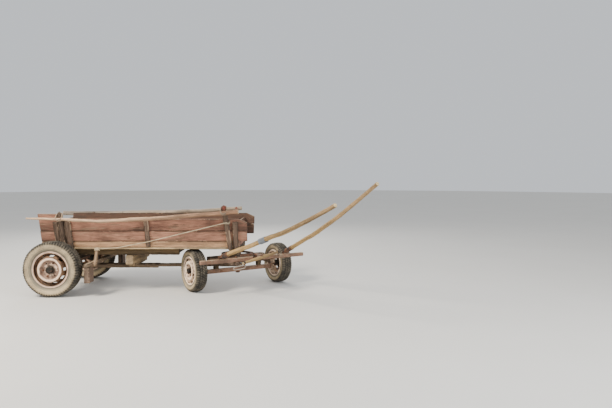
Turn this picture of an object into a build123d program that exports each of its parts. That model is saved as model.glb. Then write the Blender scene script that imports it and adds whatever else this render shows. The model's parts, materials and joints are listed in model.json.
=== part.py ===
from build123d import *
from collections import namedtuple
from math import cos, radians, sin, tan
import os

os.makedirs("parts", exist_ok=True)

# Farm cart on four car wheels. Millimetres, +X forward, +Y left, +Z up.
# The origin is the middle of the load floor's top face, halfway between the axles.

# Fits
FIT = 0.3              # gap between seated pieces on different bodies, and under ties
PIN_FIT = 0.06         # radial clearance of a pin or spindle in its bore
BEAD_FIT = 0.2         # rim seat inside the tyre's bead
RUN_GAP = 6.0          # running gap above and below the reach

# Wheels
Wheel = namedtuple("Wheel", "tyre_radius tyre_width bead_radius bead_half well_radius well_half "
                   "seat_out slope_radius slope_out ridge_radius ridge_out floor_radius floor_out "
                   "slot_radius slot_long slot_wide slot_count lug_radius lug_hole lug_count "
                   "hub_radius hub_inner spindle_radius flange_radius cap_across cap_out")
REAR = Wheel(tyre_radius=317.5, tyre_width=195.0, bead_radius=190.5, bead_half=74.0,
             well_radius=168.0, well_half=30.0, seat_out=26.0, slope_radius=150.0, slope_out=72.0,
             ridge_radius=124.0, ridge_out=99.0, floor_radius=99.0, floor_out=62.0,
             slot_radius=155.0, slot_long=46.0, slot_wide=15.0, slot_count=9,
             lug_radius=80.0, lug_hole=8.5, lug_count=6,
             hub_radius=38.0, hub_inner=-62.0, spindle_radius=20.0, flange_radius=94.0,
             cap_across=74.0, cap_out=118.0)
FRONT = Wheel(tyre_radius=254.0, tyre_width=145.0, bead_radius=152.4, bead_half=55.0,
              well_radius=132.0, well_half=20.0, seat_out=16.0, slope_radius=118.0, slope_out=50.0,
              ridge_radius=97.0, ridge_out=70.0, floor_radius=76.0, floor_out=42.0,
              slot_radius=120.5, slot_long=34.0, slot_wide=12.0, slot_count=8,
              lug_radius=58.0, lug_hole=7.0, lug_count=5,
              hub_radius=32.0, hub_inner=-48.0, spindle_radius=16.0, flange_radius=72.0,
              cap_across=58.0, cap_out=84.0)
FLANGE_HIGH = 17.0     # rim flange above the bead
FLANGE_CURL = 5.0      # how far the rim flange curls outward
FLANGE_SHOW = 2.0      # the sidewall starts this much above the flange
RIM_SHEET = 4.0
WELL_SLOPE = 14.0      # length of the slope between bead seat and well
DISC_SHEET = 5.0
PRESS_RADIUS = 7.0     # bends of the pressed disc
SEAT_TAIL = 10.0       # how far the disc's rim seat runs back in the well
RIDGE_OUTER = 14.0     # the ridge's crest runs from this much outside its radius
RIDGE_INNER = 8.0      # to this much inside it
CUT_BACK = 20.0        # slots and bolt holes are cut from this far behind the sheet
FIRST_HOLE = 5.0       # turn of the first slot and bolt hole, degrees
TREAD_CROWN = 5.0
SHOULDER_DROP = 14.0   # shoulder below the tread's middle
SHOULDER_IN = 7.0      # shoulder inside the tyre's widest
TREAD_IN = 18.0        # tread edge inside the tyre's widest
HUB_WALL = 4.0         # hub barrel beyond the disc's centre hole
HUB_PILOT = 1.0        # play of the disc on the hub, and of the spindle in the cap
HUB_FLANGE_THICK = 9.0
CAP_SEAT = 10.0        # the nut cap starts this far outside the disc's floor
CAP_CHAMFER = 5.0

# Axles and track
WHEELBASE = 2040.0
REAR_HALF_TRACK = 605.0
FRONT_HALF_TRACK = 580.0
STEER_ANGLE = 56.0     # the forecarriage stands turned to the right

# Heights, stacked down from the floor's top face
FLOOR_THICK = 25.0
FRONT_BOLSTER_HIGH = 95.0
RING_THICK = 10.0
SAND_BOARD_HIGH = 104.0
REACH_HIGH = 40.0
AXLE_BEAM_HIGH = 50.0
AXLE_DROP = 35.0       # the spindles stand this much above the middle of the front beam
SILL_HIGH = 75.0
REAR_BEAM_OVER = 32.5  # the rear beam's top above the middle of its spindles

FLOOR_UNDER = -FLOOR_THICK
RING_TOP = FLOOR_UNDER - FRONT_BOLSTER_HIGH
RING_SPLIT = RING_TOP - RING_THICK
SAND_TOP = RING_SPLIT - FIT - RING_THICK
SAND_UNDER = SAND_TOP - SAND_BOARD_HIGH
REACH_TOP = SAND_UNDER - RUN_GAP
REACH_UNDER = REACH_TOP - REACH_HIGH
AXLE_TOP = REACH_UNDER - RUN_GAP
AXLE_UNDER = AXLE_TOP - AXLE_BEAM_HIGH
FRONT_HUB_Z = AXLE_TOP - AXLE_BEAM_HIGH / 2 + AXLE_DROP
GROUND = FRONT_HUB_Z - FRONT.tyre_radius
REAR_HUB_Z = GROUND + REAR.tyre_radius
REAR_BEAM_TOP = REAR_HUB_Z + REAR_BEAM_OVER
SILL_UNDER = FLOOR_UNDER - SILL_HIGH
REAR_AXLE_X = -WHEELBASE / 2
PIN_X = WHEELBASE / 2

# Body: floor, sides and ends
BODY_REAR_X = REAR_AXLE_X - 190.0
BODY_FRONT_X = PIN_X + 170.0
BOARD_GAP = 3.0
FLOOR_BOARDS = 5
FLARE = 17.0           # sides lean outward, degrees from upright
SIDE_THICK = 25.0
SIDE_FOOT_Y = REAR_HALF_TRACK - 185.0    # outer face of a side at the floor's underside
HALF_FLOOR = SIDE_FOOT_Y - SIDE_THICK / cos(radians(FLARE)) - FIT
END_THICK = 25.0
END_HIGH = 285.0
HEADBOARD_X = PIN_X + 20.0    # stands on the front bolster, as the tailboard does on the sills
LEDGE_RISE = 8.0
LEDGE_HIGH = 25.0
LEDGE_THICK = 22.0
LEDGE_REAR_X = REAR_AXLE_X + 185.0
LEDGE_FRONT_X = PIN_X - 70.0
CORNER_BOARD_HIGH = 62.0
CORNER_BOARD_LONG = 225.0
CORNER_BOARD_DROP = 10.0

# planks of one side, bottom to top: height up the slope, rear end, front end, cut at the front end
Plank = namedtuple("Plank", "high rear_x front_x nose_x nose_cut")
PLANKS = [
    Plank(101.0, BODY_REAR_X, BODY_FRONT_X - 100, BODY_FRONT_X - 108, 9.0),
    Plank(131.0, BODY_REAR_X, BODY_FRONT_X - 4, BODY_FRONT_X - 12, 7.0),
    Plank(146.0, BODY_REAR_X + 4, BODY_FRONT_X, BODY_FRONT_X - 102, 46.0),
]
SIDE_HIGH = sum(plank.high for plank in PLANKS)

# battens on a side's outer face: middle, width, foot and top up the slope
Batten = namedtuple("Batten", "x wide foot top")
BATTEN_THICK = 22.0
BATTENS = [
    Batten(REAR_AXLE_X + 6.5, 59.0, 8.0, 352.0),
    Batten(REAR_AXLE_X + 141.5, 79.0, 8.0, 360.0),
    Batten(30.0, 55.0, 36.0, 376.0),
    Batten(PIN_X + 33.0, 62.0, 8.0, 352.0),
]

# Stakes standing on the bolster ends
STAKE_THICK = 45.0
STAKE_WIDE = 55.0
REAR_STAKE_X = REAR_AXLE_X + 71.0
FRONT_STAKE_X = PIN_X - 30.0
FRONT_STAKE_LEAN = 6.0   # leans back, degrees
STAKE_POINT = 24.0

# heights of the stakes' points on the right and on the left
Tops = namedtuple("Tops", "right left")
REAR_STAKE_TOPS = Tops(432.0, 362.0)
FRONT_STAKE_TOPS = Tops(508.0, 422.0)

# Rave poles, tied outside the stakes: place along the body, height above the floor, radius
Station = namedtuple("Station", "x z radius")
RIGHT_POLE = [
    Station(REAR_STAKE_X - 371.0, 352.0, 11.0),
    Station(REAR_STAKE_X, 341.0, 17.0),
    Station(-490.0, 317.0, 20.0),
    Station(30.0, 345.0, 22.5),
    Station(520.0, 381.0, 25.0),
    Station(FRONT_STAKE_X - 55.0, 413.0, 27.0),
    Station(FRONT_STAKE_X + 115.0, 431.0, 27.5),
]
LEFT_POLE = [
    Station(REAR_STAKE_X - 427.0, 331.0, 28.5),
    Station(REAR_STAKE_X, 330.0, 28.0),
    Station(-490.0, 336.0, 28.0),
    Station(30.0, 345.0, 27.0),
    Station(520.0, 361.0, 26.0),
    Station(FRONT_STAKE_X - 55.0, 390.0, 25.0),
    Station(FRONT_STAKE_X + 20.0, 396.0, 25.0),
]
STRAP_THICK = 5.0
STRAP_PLAY = 2.5
STRAP_WIDE = 26.0

# Running gear under the body
SILL_Y = SIDE_FOOT_Y - 90.0
SILL_WIDE = 60.0
SILL_FRONT_X = PIN_X - 650.0     # the front wheels turn in under the floor ahead of the sills
CROSS_BEARER_WIDE = 60.0
REAR_BOLSTER_X = REAR_AXLE_X + 40.0
REAR_BOLSTER_WIDE = 130.0
BOLSTER_END = 8.0        # bolster beyond the outer faces of the stakes
BOLSTER_HALF = SIDE_FOOT_Y + STAKE_THICK / cos(radians(FLARE)) + BOLSTER_END
BOLSTER_TAPER = 100.0    # the ends taper up over this length, by these rises
BOLSTER_RISE = 50.0
REAR_BOLSTER_RISE = 30.0
FRONT_BOLSTER_WIDE = 100.0
MID_BEARER_X = -215.0
MID_BEARER_WIDE = 90.0
MID_BEARER_HALF = SILL_Y + 45.0
NOTCH_LONG = 120.0       # the mid bearer's ends are cut away underneath
NOTCH_HIGH = 35.0
REACH_WIDE = 60.0
REACH_REAR_X = REAR_AXLE_X - 160.0
REACH_NOSE = 60.0
CHEEK_THICK = 25.0
CHEEK_HIGH = 50.0
CHEEK_REAR_X = REAR_AXLE_X + 130.0
CHEEK_FRONT_X = 50.0
REAR_BEAM_WIDE = 60.0
REAR_BEAM_HALF = REAR_HALF_TRACK - 115.0

# Brake
SHOE_HIGH = 170.0
SHOE_THICK = 62.0
SHOE_GAP = 63.0          # brake off, between tyre and shoe
SHOE_INNER_Y = REAR_HALF_TRACK - 65.0
SHOE_OUTER_Y = REAR_HALF_TRACK + 85.0
BRAKE_BEAM_WIDE = 50.0
BRAKE_BEAM_HIGH = 50.0
BRAKE_BEAM_Z = -183.0
BRAKE_BEAM_X = REAR_AXLE_X + REAR.tyre_radius + SHOE_GAP + BRAKE_BEAM_WIDE / 2
BRAKE_BEAM_HALF = SHOE_OUTER_Y
HANGER_Y = SILL_Y
HANGER_WIDE = 40.0
HANGER_THICK = 8.0
LEVER_Y = SHOE_INNER_Y - 20.0
LEVER_WIDE = 38.0
LEVER_THICK = 24.0
LEVER_TOP = 12.0
LEVER_LEAN = 9.5
LEVER_TAIL = 20.0

# King pin and turntable
PIN_RADIUS = 15.0
PIN_HEAD_RADIUS = 27.0
PIN_HEAD_HIGH = 18.0
RING_RADIUS = 200.0
RING_WIDE = 42.0
BOSS_RADIUS = 44.0       # plate round the king pin's hole

# Forecarriage
AXLE_BEAM_WIDE = 50.0
AXLE_BEAM_HALF = FRONT_HALF_TRACK - 125.0
KNUCKLE_THICK = 16.0
KNUCKLE_WIDE = 70.0
KNUCKLE_WALL = 16.0      # knuckle above the spindle
BLOCK_IN = 265.0
BLOCK_OUT = 325.0
SAND_BOARD_WIDE = 90.0
SAND_BOARD_HALF = FRONT_HALF_TRACK - 180.0
SAND_BOARD_CHAMFER = 45.0
BAR_AHEAD = 420.0
BAR_HALF = 690.0
BAR_WIDE = 45.0
BAR_HIGH = 45.0
BAR_TOP = -117.0
HOUND_OUT = 235.0
HOUND_WIDE = 50.0
HOUND_HIGH = 48.0
HOUND_NOSE = 40.0

# Shafts, hinged on the splinter bar
SHAFT_Y = 430.0
SHAFT_PIN_Z = -92.0
SHAFT_PIN_RADIUS = 8.0
SHAFT_EYE_RADIUS = 15.0
SHAFT_EYE_HALF = 24.0
EAR_THICK = 6.0
EAR_GAP = 0.5
SHAFT_HEEL = 40.0
SOCKET_LONG = 150.0
SOCKET_WALL = 3.0
SOCKET_FLOOR = 6.0       # closed bottom of the socket
NECK_REACH = 8.0         # the neck starts this far ahead of the hinge's middle
NECK_HIGH = 14.0
NECK_SIDE = 3.0          # the neck is this much narrower than the eye on each side
NECK_FLARE = 34.0        # height of the neck where it meets the socket
SHAFT_TIP_RADIUS = 20.0
SHAFT_TIP_LONG = 150.0
# stations of a shaft: distance ahead of its hinge, rise above it, drift inward, radius
Reed = namedtuple("Reed", "ahead rise drift radius")
RIGHT_SHAFT = [
    Reed(42.0, 13.0, 1.5, 25.0),
    Reed(186.0, 56.0, 6.0, 25.0),
    Reed(700.0, 211.0, 24.0, 25.5),
    Reed(1285.0, 390.0, 43.0, 24.5),
    Reed(1700.0, 532.0, 57.0, 22.5),
    Reed(1945.0, 631.0, 66.0, SHAFT_TIP_RADIUS),
]
LEFT_SHAFT = [
    Reed(42.0, 17.0, 2.0, 25.0),
    Reed(186.0, 75.0, 8.0, 25.0),
    Reed(680.0, 277.0, 36.0, 25.5),
    Reed(1200.0, 520.0, 66.0, 23.5),
    Reed(1700.0, 790.0, 92.0, SHAFT_TIP_RADIUS),
]

# Swingletree, on a tongue ahead of the splinter bar
TREE_AHEAD = 600.0
TREE_Z = -108.0
TREE_YAW = 15.0
TREE_TILT = 7.5
TREE_HALF = 300.0
TREE_RADIUS = 21.0
TREE_END_RADIUS = 14.0
TREE_FLAT = 60.0
TREE_PIN_RADIUS = 7.0
TONGUE_THICK = 8.0
TONGUE_WIDE = 36.0
TREE_PLAY = 1.0
TREE_PIN_END = 8.0       # the pin stands this far out of the tongue
TONGUE_FOOT_SIDE = 7.0   # the tongue's foot plate beyond the tongue
TONGUE_FOOT_END = 5.0
BAND_THICK = 5.0
BAND_PLAY = 1.4
BAND_IN = 22.0           # bands stand this far from the tree's ends
BAND_WIDE = 20.0
EYE_WIRE = 4.5
EYE_RADIUS = 13.0
EYE_SINK = 2.5           # the eyes are welded this deep into their bands


def finish(builder, name):
    """Label a finished piece and write it."""
    builder.part.label = name
    export_step(builder.part, f"parts/{name}.step")


def outer_face(z, proud):
    """Distance from the middle plane of the leaning outer face at height z, proud of it square on."""
    lean = radians(FLARE)
    return SIDE_FOOT_Y + (z - FLOOR_UNDER) * tan(lean) + proud / cos(lean)


# Planes
SIDE = Plane(origin=(0, -SIDE_FOOT_Y, FLOOR_UNDER), x_dir=(1, 0, 0),
             z_dir=(0, -cos(radians(FLARE)), -sin(radians(FLARE))))
FORE = Plane(origin=(PIN_X, 0, 0), x_dir=(cos(radians(STEER_ANGLE)), -sin(radians(STEER_ANGLE)), 0),
             z_dir=(0, 0, 1))
AHEAD = FORE.x_dir
ACROSS = FORE.y_dir


def fore_point(ahead, across, z):
    """A point of the turned forecarriage, measured from the king pin."""
    return FORE.from_local_coords((ahead, across, z))


def fore_level(z):
    """Level sketch plane of the forecarriage: x ahead, y to the left."""
    return Plane(origin=fore_point(0, 0, z), x_dir=AHEAD, z_dir=(0, 0, 1))


def fore_side(across):
    """Upright sketch plane along the forecarriage, seen from the right: x ahead, y up."""
    return Plane(origin=fore_point(0, across, 0), x_dir=AHEAD, z_dir=-ACROSS)


def fore_front(ahead):
    """Upright sketch plane across the forecarriage, seen from the front: x to the left, y up."""
    return Plane(origin=fore_point(ahead, 0, 0), x_dir=ACROSS, z_dir=AHEAD)


def wheel_plane(hub, outward):
    """Half-section plane of a wheel: x outward along the axle, y up from its middle."""
    return Plane(origin=hub, x_dir=outward, z_dir=outward.cross(Vector(0, 0, 1)))


def face_plane(hub, outward, reach):
    """Plane square to the axle, this far outward of the wheel's middle."""
    return Plane(origin=hub + outward * reach, x_dir=Vector(0, 0, 1).cross(outward), z_dir=outward)


# Floor, between the tailboard and the headboard
floor_rear_x = BODY_REAR_X + END_THICK + FIT
floor_front_x = HEADBOARD_X - FIT
floor_pitch = (2 * HALF_FLOOR + BOARD_GAP) / FLOOR_BOARDS
with BuildPart() as floor_boards:
    with BuildSketch(Plane.XY.offset(FLOOR_UNDER)):
        with Locations(((floor_rear_x + floor_front_x) / 2, 0)):
            with GridLocations(0, floor_pitch, 1, FLOOR_BOARDS):
                Rectangle(floor_front_x - floor_rear_x, floor_pitch - BOARD_GAP)
    extrude(amount=FLOOR_THICK)
finish(floor_boards, "floor_boards")

with BuildPart() as sills:
    with BuildSketch(Plane.XY.offset(SILL_UNDER)):
        with Locations(((BODY_REAR_X + SILL_FRONT_X) / 2, 0)):
            with GridLocations(0, 2 * SILL_Y, 1, 2):
                Rectangle(SILL_FRONT_X - BODY_REAR_X, SILL_WIDE)
    extrude(amount=SILL_HIGH)
finish(sills, "sills")

with BuildPart() as cross_bearers:
    with BuildSketch(Plane.XY.offset(SILL_UNDER)):
        for x in (BODY_REAR_X + CROSS_BEARER_WIDE, MID_BEARER_X, SILL_FRONT_X - CROSS_BEARER_WIDE):
            with Locations((x, 0)):
                Rectangle(CROSS_BEARER_WIDE, 2 * SILL_Y - SILL_WIDE)
    extrude(amount=SILL_HIGH)
finish(cross_bearers, "cross_bearers")


# Bolsters, mid bearer and reach
def taper_points(side, under, rise):
    """Corners of the wedge cut away under one end of a bolster."""
    return [(side * BOLSTER_HALF, under), (side * BOLSTER_HALF, under + rise),
            (side * (BOLSTER_HALF - BOLSTER_TAPER), under)]


with BuildPart() as rear_bolster:
    with BuildSketch(Plane.XY.offset(REAR_BEAM_TOP)):
        with Locations((REAR_BOLSTER_X, 0)):
            Rectangle(REAR_BOLSTER_WIDE, 2 * BOLSTER_HALF)
    extrude(amount=SILL_UNDER - REAR_BEAM_TOP)
    with BuildSketch(Plane.YZ.offset(REAR_BOLSTER_X)):
        for side in (-1, 1):
            with BuildLine():
                Polyline(*taper_points(side, REAR_BEAM_TOP, REAR_BOLSTER_RISE), close=True)
            make_face()
    extrude(amount=REAR_BOLSTER_WIDE, both=True, mode=Mode.SUBTRACT)
finish(rear_bolster, "rear_bolster")

with BuildPart() as front_bolster:
    with BuildSketch(Plane.XY.offset(RING_TOP)):
        with Locations((PIN_X, 0)):
            Rectangle(FRONT_BOLSTER_WIDE, 2 * BOLSTER_HALF)
            Circle(PIN_RADIUS + PIN_FIT, mode=Mode.SUBTRACT)
    extrude(amount=FRONT_BOLSTER_HIGH)
    with BuildSketch(Plane.YZ.offset(PIN_X)):
        for side in (-1, 1):
            with BuildLine():
                Polyline(*taper_points(side, RING_TOP, BOLSTER_RISE), close=True)
            make_face()
    extrude(amount=FRONT_BOLSTER_WIDE, both=True, mode=Mode.SUBTRACT)
finish(front_bolster, "front_bolster")

with BuildPart() as mid_bearer:
    with BuildSketch(Plane.XY.offset(REACH_TOP)):
        with Locations((MID_BEARER_X, 0)):
            Rectangle(MID_BEARER_WIDE, 2 * MID_BEARER_HALF)
    extrude(amount=SILL_UNDER - REACH_TOP)
    with BuildSketch(Plane.YZ.offset(MID_BEARER_X)):
        with Locations((-MID_BEARER_HALF, REACH_TOP), (MID_BEARER_HALF, REACH_TOP)):
            Rectangle(2 * NOTCH_LONG, 2 * NOTCH_HIGH)
    extrude(amount=MID_BEARER_WIDE, both=True, mode=Mode.SUBTRACT)
finish(mid_bearer, "mid_bearer")

with BuildPart() as reach:
    with BuildSketch(Plane.XY.offset(REACH_UNDER)):
        with Locations(((REACH_REAR_X + PIN_X + REACH_NOSE) / 2, 0)):
            Rectangle(PIN_X + REACH_NOSE - REACH_REAR_X, REACH_WIDE)
        with Locations((PIN_X, 0)):
            Circle(PIN_RADIUS + PIN_FIT, mode=Mode.SUBTRACT)
    extrude(amount=REACH_HIGH)
finish(reach, "reach")

with BuildPart() as reach_cheeks:
    with BuildSketch(Plane.XY.offset(REACH_TOP - CHEEK_HIGH)):
        with Locations(((CHEEK_REAR_X + CHEEK_FRONT_X) / 2, 0)):
            with GridLocations(0, REACH_WIDE + CHEEK_THICK, 1, 2):
                Rectangle(CHEEK_FRONT_X - CHEEK_REAR_X, CHEEK_THICK)
    extrude(amount=CHEEK_HIGH)
finish(reach_cheeks, "reach_cheeks")

# Rear axle with its two spindles
with BuildPart() as rear_axle:
    with BuildSketch(Plane.XY.offset(REACH_TOP)):
        with Locations((REAR_AXLE_X, 0)):
            Rectangle(REAR_BEAM_WIDE, 2 * REAR_BEAM_HALF)
    extrude(amount=REAR_BEAM_TOP - REACH_TOP)
    with BuildSketch(Plane.XZ):
        with Locations((REAR_AXLE_X, REAR_HUB_Z)):
            Circle(REAR.spindle_radius)
    extrude(amount=REAR_HALF_TRACK + REAR.floor_out, both=True)
finish(rear_axle, "rear_axle")


# Sides: planks on the leaning plane, with battens, ledge and corner board outside
with BuildPart() as side_right:
    foot = 0.0
    for plank in PLANKS:
        low = foot + BOARD_GAP / 2
        high = foot + plank.high - BOARD_GAP / 2
        with BuildSketch(SIDE):
            with BuildLine():
                Polyline((plank.rear_x, low), (plank.front_x, low), (plank.front_x, high - plank.nose_cut),
                         (plank.nose_x, high), (plank.rear_x, high), close=True)
            make_face()
        extrude(amount=-SIDE_THICK)
        foot += plank.high
finish(side_right, "side_right")

with BuildPart() as side_left:
    mirror(side_right.part, about=Plane.XZ)
finish(side_left, "side_left")

with BuildPart() as battens_right:
    with BuildSketch(SIDE):
        for batten in BATTENS:
            with Locations((batten.x, (batten.foot + batten.top) / 2)):
                Rectangle(batten.wide, batten.top - batten.foot)
    extrude(amount=BATTEN_THICK)
finish(battens_right, "battens_right")

with BuildPart() as battens_left:
    mirror(battens_right.part, about=Plane.XZ)
finish(battens_left, "battens_left")

with BuildPart() as ledges:
    with BuildSketch(SIDE):
        with Locations(((LEDGE_REAR_X + LEDGE_FRONT_X) / 2, LEDGE_RISE + LEDGE_HIGH / 2)):
            Rectangle(LEDGE_FRONT_X - LEDGE_REAR_X, LEDGE_HIGH)
    extrude(amount=LEDGE_THICK)
    mirror(about=Plane.XZ)
finish(ledges, "ledges")

with BuildPart() as corner_board:
    with BuildSketch(SIDE):
        with BuildLine():
            corner_x = BODY_REAR_X + CORNER_BOARD_LONG
            corner_foot = SIDE_HIGH - BOARD_GAP / 2
            Polyline((BODY_REAR_X, corner_foot), (corner_x, corner_foot),
                     (corner_x, corner_foot + CORNER_BOARD_HIGH),
                     (BODY_REAR_X, corner_foot + CORNER_BOARD_HIGH - CORNER_BOARD_DROP), close=True)
        make_face()
    extrude(amount=-SIDE_THICK)
finish(corner_board, "corner_board")


def end_board(x):
    """Board across the body, fitted between the leaning sides, in two planks."""
    with BuildPart() as board:
        with BuildSketch(Plane.YZ.offset(x)):
            with BuildLine():
                low_y = outer_face(FLOOR_UNDER, -SIDE_THICK) - 2 * FIT
                high_y = outer_face(END_HIGH, -SIDE_THICK) - 2 * FIT
                Polyline((-low_y, FLOOR_UNDER), (low_y, FLOOR_UNDER), (high_y, END_HIGH),
                         (-high_y, END_HIGH), close=True)
            make_face()
            with Locations((0, END_HIGH / 2)):
                Rectangle(2 * high_y, BOARD_GAP, mode=Mode.SUBTRACT)
        extrude(amount=END_THICK)
    return board


tailboard = end_board(BODY_REAR_X)
finish(tailboard, "tailboard")
headboard = end_board(HEADBOARD_X)
finish(headboard, "headboard")


# Stakes on the leaning plane, cut level where they stand on a bolster
def right_stake(x, seat, top, lean):
    """Pointed stake against the right side, standing at height seat and leaning back."""
    slope = 1 / cos(radians(FLARE))
    foot = (seat - FLOOR_UNDER) * slope
    long = (top - seat) * slope
    back = tan(radians(lean))
    half = STAKE_WIDE / 2
    with BuildPart() as stake:
        with BuildSketch(SIDE):
            with BuildLine():
                Polyline((x - half + STAKE_WIDE * back, foot - STAKE_WIDE),
                         (x + half + STAKE_WIDE * back, foot - STAKE_WIDE),
                         (x + half - (long - STAKE_POINT) * back, foot + long - STAKE_POINT),
                         (x - long * back, foot + long),
                         (x - half - (long - STAKE_POINT) * back, foot + long - STAKE_POINT), close=True)
            make_face()
        extrude(amount=STAKE_THICK)
        split(bisect_by=Plane.XY.offset(seat), keep=Keep.TOP)
    return stake


def stake_pair(x, seat, tops, lean):
    """The right stake and its fellow on the left, each with its own top."""
    right = right_stake(x, seat, tops.right, lean)
    left = right_stake(x, seat, tops.left, lean)
    with BuildPart() as stakes:
        add(right.part)
        mirror(left.part, about=Plane.XZ)
    return stakes


rear_stakes = stake_pair(REAR_STAKE_X, SILL_UNDER, REAR_STAKE_TOPS, 0)
finish(rear_stakes, "rear_stakes")
front_stakes = stake_pair(FRONT_STAKE_X, FLOOR_UNDER, FRONT_STAKE_TOPS, FRONT_STAKE_LEAN)
finish(front_stakes, "front_stakes")


# Rave poles against the outer faces of the stakes
def pole_y(station):
    """Distance of a pole's middle from the body's middle plane at a station."""
    return outer_face(station.z, STAKE_THICK + station.radius + FIT)


def rave_pole(stations, side):
    """Round tapered pole through its stations, on the side of this sign."""
    with BuildPart() as pole:
        for station in stations:
            with BuildSketch(Plane.YZ.offset(station.x)):
                with Locations((side * pole_y(station), station.z)):
                    Circle(station.radius)
        loft(ruled=True)
    return pole


rave_pole_right = rave_pole(RIGHT_POLE, -1)
finish(rave_pole_right, "rave_pole_right")
rave_pole_left = rave_pole(LEFT_POLE, 1)
finish(rave_pole_left, "rave_pole_left")

with BuildPart() as pole_straps:
    for stations, side in ((RIGHT_POLE, -1), (LEFT_POLE, 1)):
        for place in (1, 5):
            station = stations[place]
            bore = station.radius + STRAP_PLAY
            y = side * pole_y(station)
            with BuildSketch(Plane.YZ.offset(station.x)):
                with Locations((y, station.z)):
                    Circle(bore + STRAP_THICK)
                    Circle(bore, mode=Mode.SUBTRACT)
                with Locations(Location((y, station.z), side * -FLARE)):
                    with Locations((-side * (station.radius + FIT + 2 * bore), 0)):
                        Rectangle(4 * bore, 4 * bore, mode=Mode.SUBTRACT)
            extrude(amount=STRAP_WIDE / 2, both=True)
finish(pole_straps, "pole_straps")

# King pin, fixed in the front bolster, with its nut under the axle
with BuildPart() as king_pin:
    with BuildSketch(Plane.XY.offset(AXLE_UNDER - FIT - PIN_HEAD_HIGH)):
        with Locations((PIN_X, 0)):
            RegularPolygon(PIN_HEAD_RADIUS, 6)
    extrude(amount=PIN_HEAD_HIGH)
    with BuildSketch(Plane.XY.offset(AXLE_UNDER - FIT - PIN_HEAD_HIGH)):
        with Locations((PIN_X, 0)):
            Circle(PIN_RADIUS)
    extrude(amount=FLOOR_UNDER - AXLE_UNDER + FIT + PIN_HEAD_HIGH)
finish(king_pin, "king_pin")


# Turntable rings, one under the bolster and one on the sand board
def turn_ring(low, plane):
    """Flat iron ring and its middle plate with the king pin's hole."""
    with BuildPart() as ring:
        with BuildSketch(plane):
            Circle(RING_RADIUS)
            Circle(RING_RADIUS - RING_WIDE, mode=Mode.SUBTRACT)
            Circle(BOSS_RADIUS)
            Circle(PIN_RADIUS + PIN_FIT, mode=Mode.SUBTRACT)
        extrude(amount=RING_THICK)
    return ring


upper_ring = turn_ring(RING_SPLIT, Plane.XY.offset(RING_SPLIT).move(Location((PIN_X, 0, 0))))
finish(upper_ring, "upper_ring")
lower_ring = turn_ring(SAND_TOP, fore_level(SAND_TOP))
finish(lower_ring, "lower_ring")

# Brake: hangers, beam, shoes under its ends ahead of the rear tyres, and its lever
with BuildPart() as brake_hangers:
    with BuildSketch(Plane.XY.offset(BRAKE_BEAM_Z + BRAKE_BEAM_HIGH / 2)):
        with Locations((BRAKE_BEAM_X, 0)):
            with GridLocations(0, 2 * HANGER_Y, 1, 2):
                Rectangle(HANGER_WIDE, HANGER_THICK)
    extrude(amount=SILL_UNDER - BRAKE_BEAM_Z - BRAKE_BEAM_HIGH / 2)
finish(brake_hangers, "brake_hangers")

with BuildPart() as brake_beam:
    with BuildSketch(Plane.XY.offset(BRAKE_BEAM_Z - BRAKE_BEAM_HIGH / 2)):
        with Locations((BRAKE_BEAM_X, 0)):
            Rectangle(BRAKE_BEAM_WIDE, 2 * BRAKE_BEAM_HALF)
    extrude(amount=BRAKE_BEAM_HIGH)
finish(brake_beam, "brake_beam")

with BuildPart() as brake_shoes:
    with BuildSketch(Plane.XY.offset(BRAKE_BEAM_Z - BRAKE_BEAM_HIGH / 2)):
        with Locations((BRAKE_BEAM_X + (SHOE_THICK - BRAKE_BEAM_WIDE) / 2, 0)):
            with GridLocations(0, SHOE_OUTER_Y + SHOE_INNER_Y, 1, 2):
                Rectangle(SHOE_THICK, SHOE_OUTER_Y - SHOE_INNER_Y)
    extrude(amount=-SHOE_HIGH)
finish(brake_shoes, "brake_shoes")

lever_plane = Plane(origin=(BRAKE_BEAM_X + BRAKE_BEAM_WIDE / 2, -LEVER_Y, BRAKE_BEAM_Z),
                    x_dir=(cos(radians(LEVER_LEAN)), 0, -sin(radians(LEVER_LEAN))), z_dir=(0, -1, 0))
lever_long = (LEVER_TOP - BRAKE_BEAM_Z) / cos(radians(LEVER_LEAN))
with BuildPart() as brake_lever:
    with BuildSketch(lever_plane):
        with Locations((LEVER_WIDE / 2, (lever_long - LEVER_TAIL) / 2)):
            Rectangle(LEVER_WIDE, lever_long + LEVER_TAIL)
    extrude(amount=LEVER_THICK / 2, both=True)
    split(bisect_by=Plane.YZ.offset(BRAKE_BEAM_X + BRAKE_BEAM_WIDE / 2), keep=Keep.TOP)
finish(brake_lever, "brake_lever")

# Forecarriage: axle beam with knuckles and spindles, blocks and sand board
with BuildPart() as front_axle:
    with BuildSketch(fore_level(AXLE_UNDER)):
        Rectangle(AXLE_BEAM_WIDE, 2 * AXLE_BEAM_HALF)
        Circle(PIN_RADIUS + PIN_FIT, mode=Mode.SUBTRACT)
    extrude(amount=AXLE_BEAM_HIGH)
    knuckle_top = FRONT_HUB_Z + FRONT.spindle_radius + KNUCKLE_WALL
    for side in (-1, 1):
        with BuildSketch(fore_side(side * (AXLE_BEAM_HALF + KNUCKLE_THICK / 2))):
            with Locations((0, (AXLE_UNDER + knuckle_top) / 2)):
                Rectangle(KNUCKLE_WIDE, knuckle_top - AXLE_UNDER)
        extrude(amount=KNUCKLE_THICK / 2, both=True)
        with BuildSketch(fore_side(side * AXLE_BEAM_HALF)):
            with Locations((0, FRONT_HUB_Z)):
                Circle(FRONT.spindle_radius)
        extrude(amount=-side * (FRONT_HALF_TRACK + FRONT.floor_out - AXLE_BEAM_HALF))
finish(front_axle, "front_axle")

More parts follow.
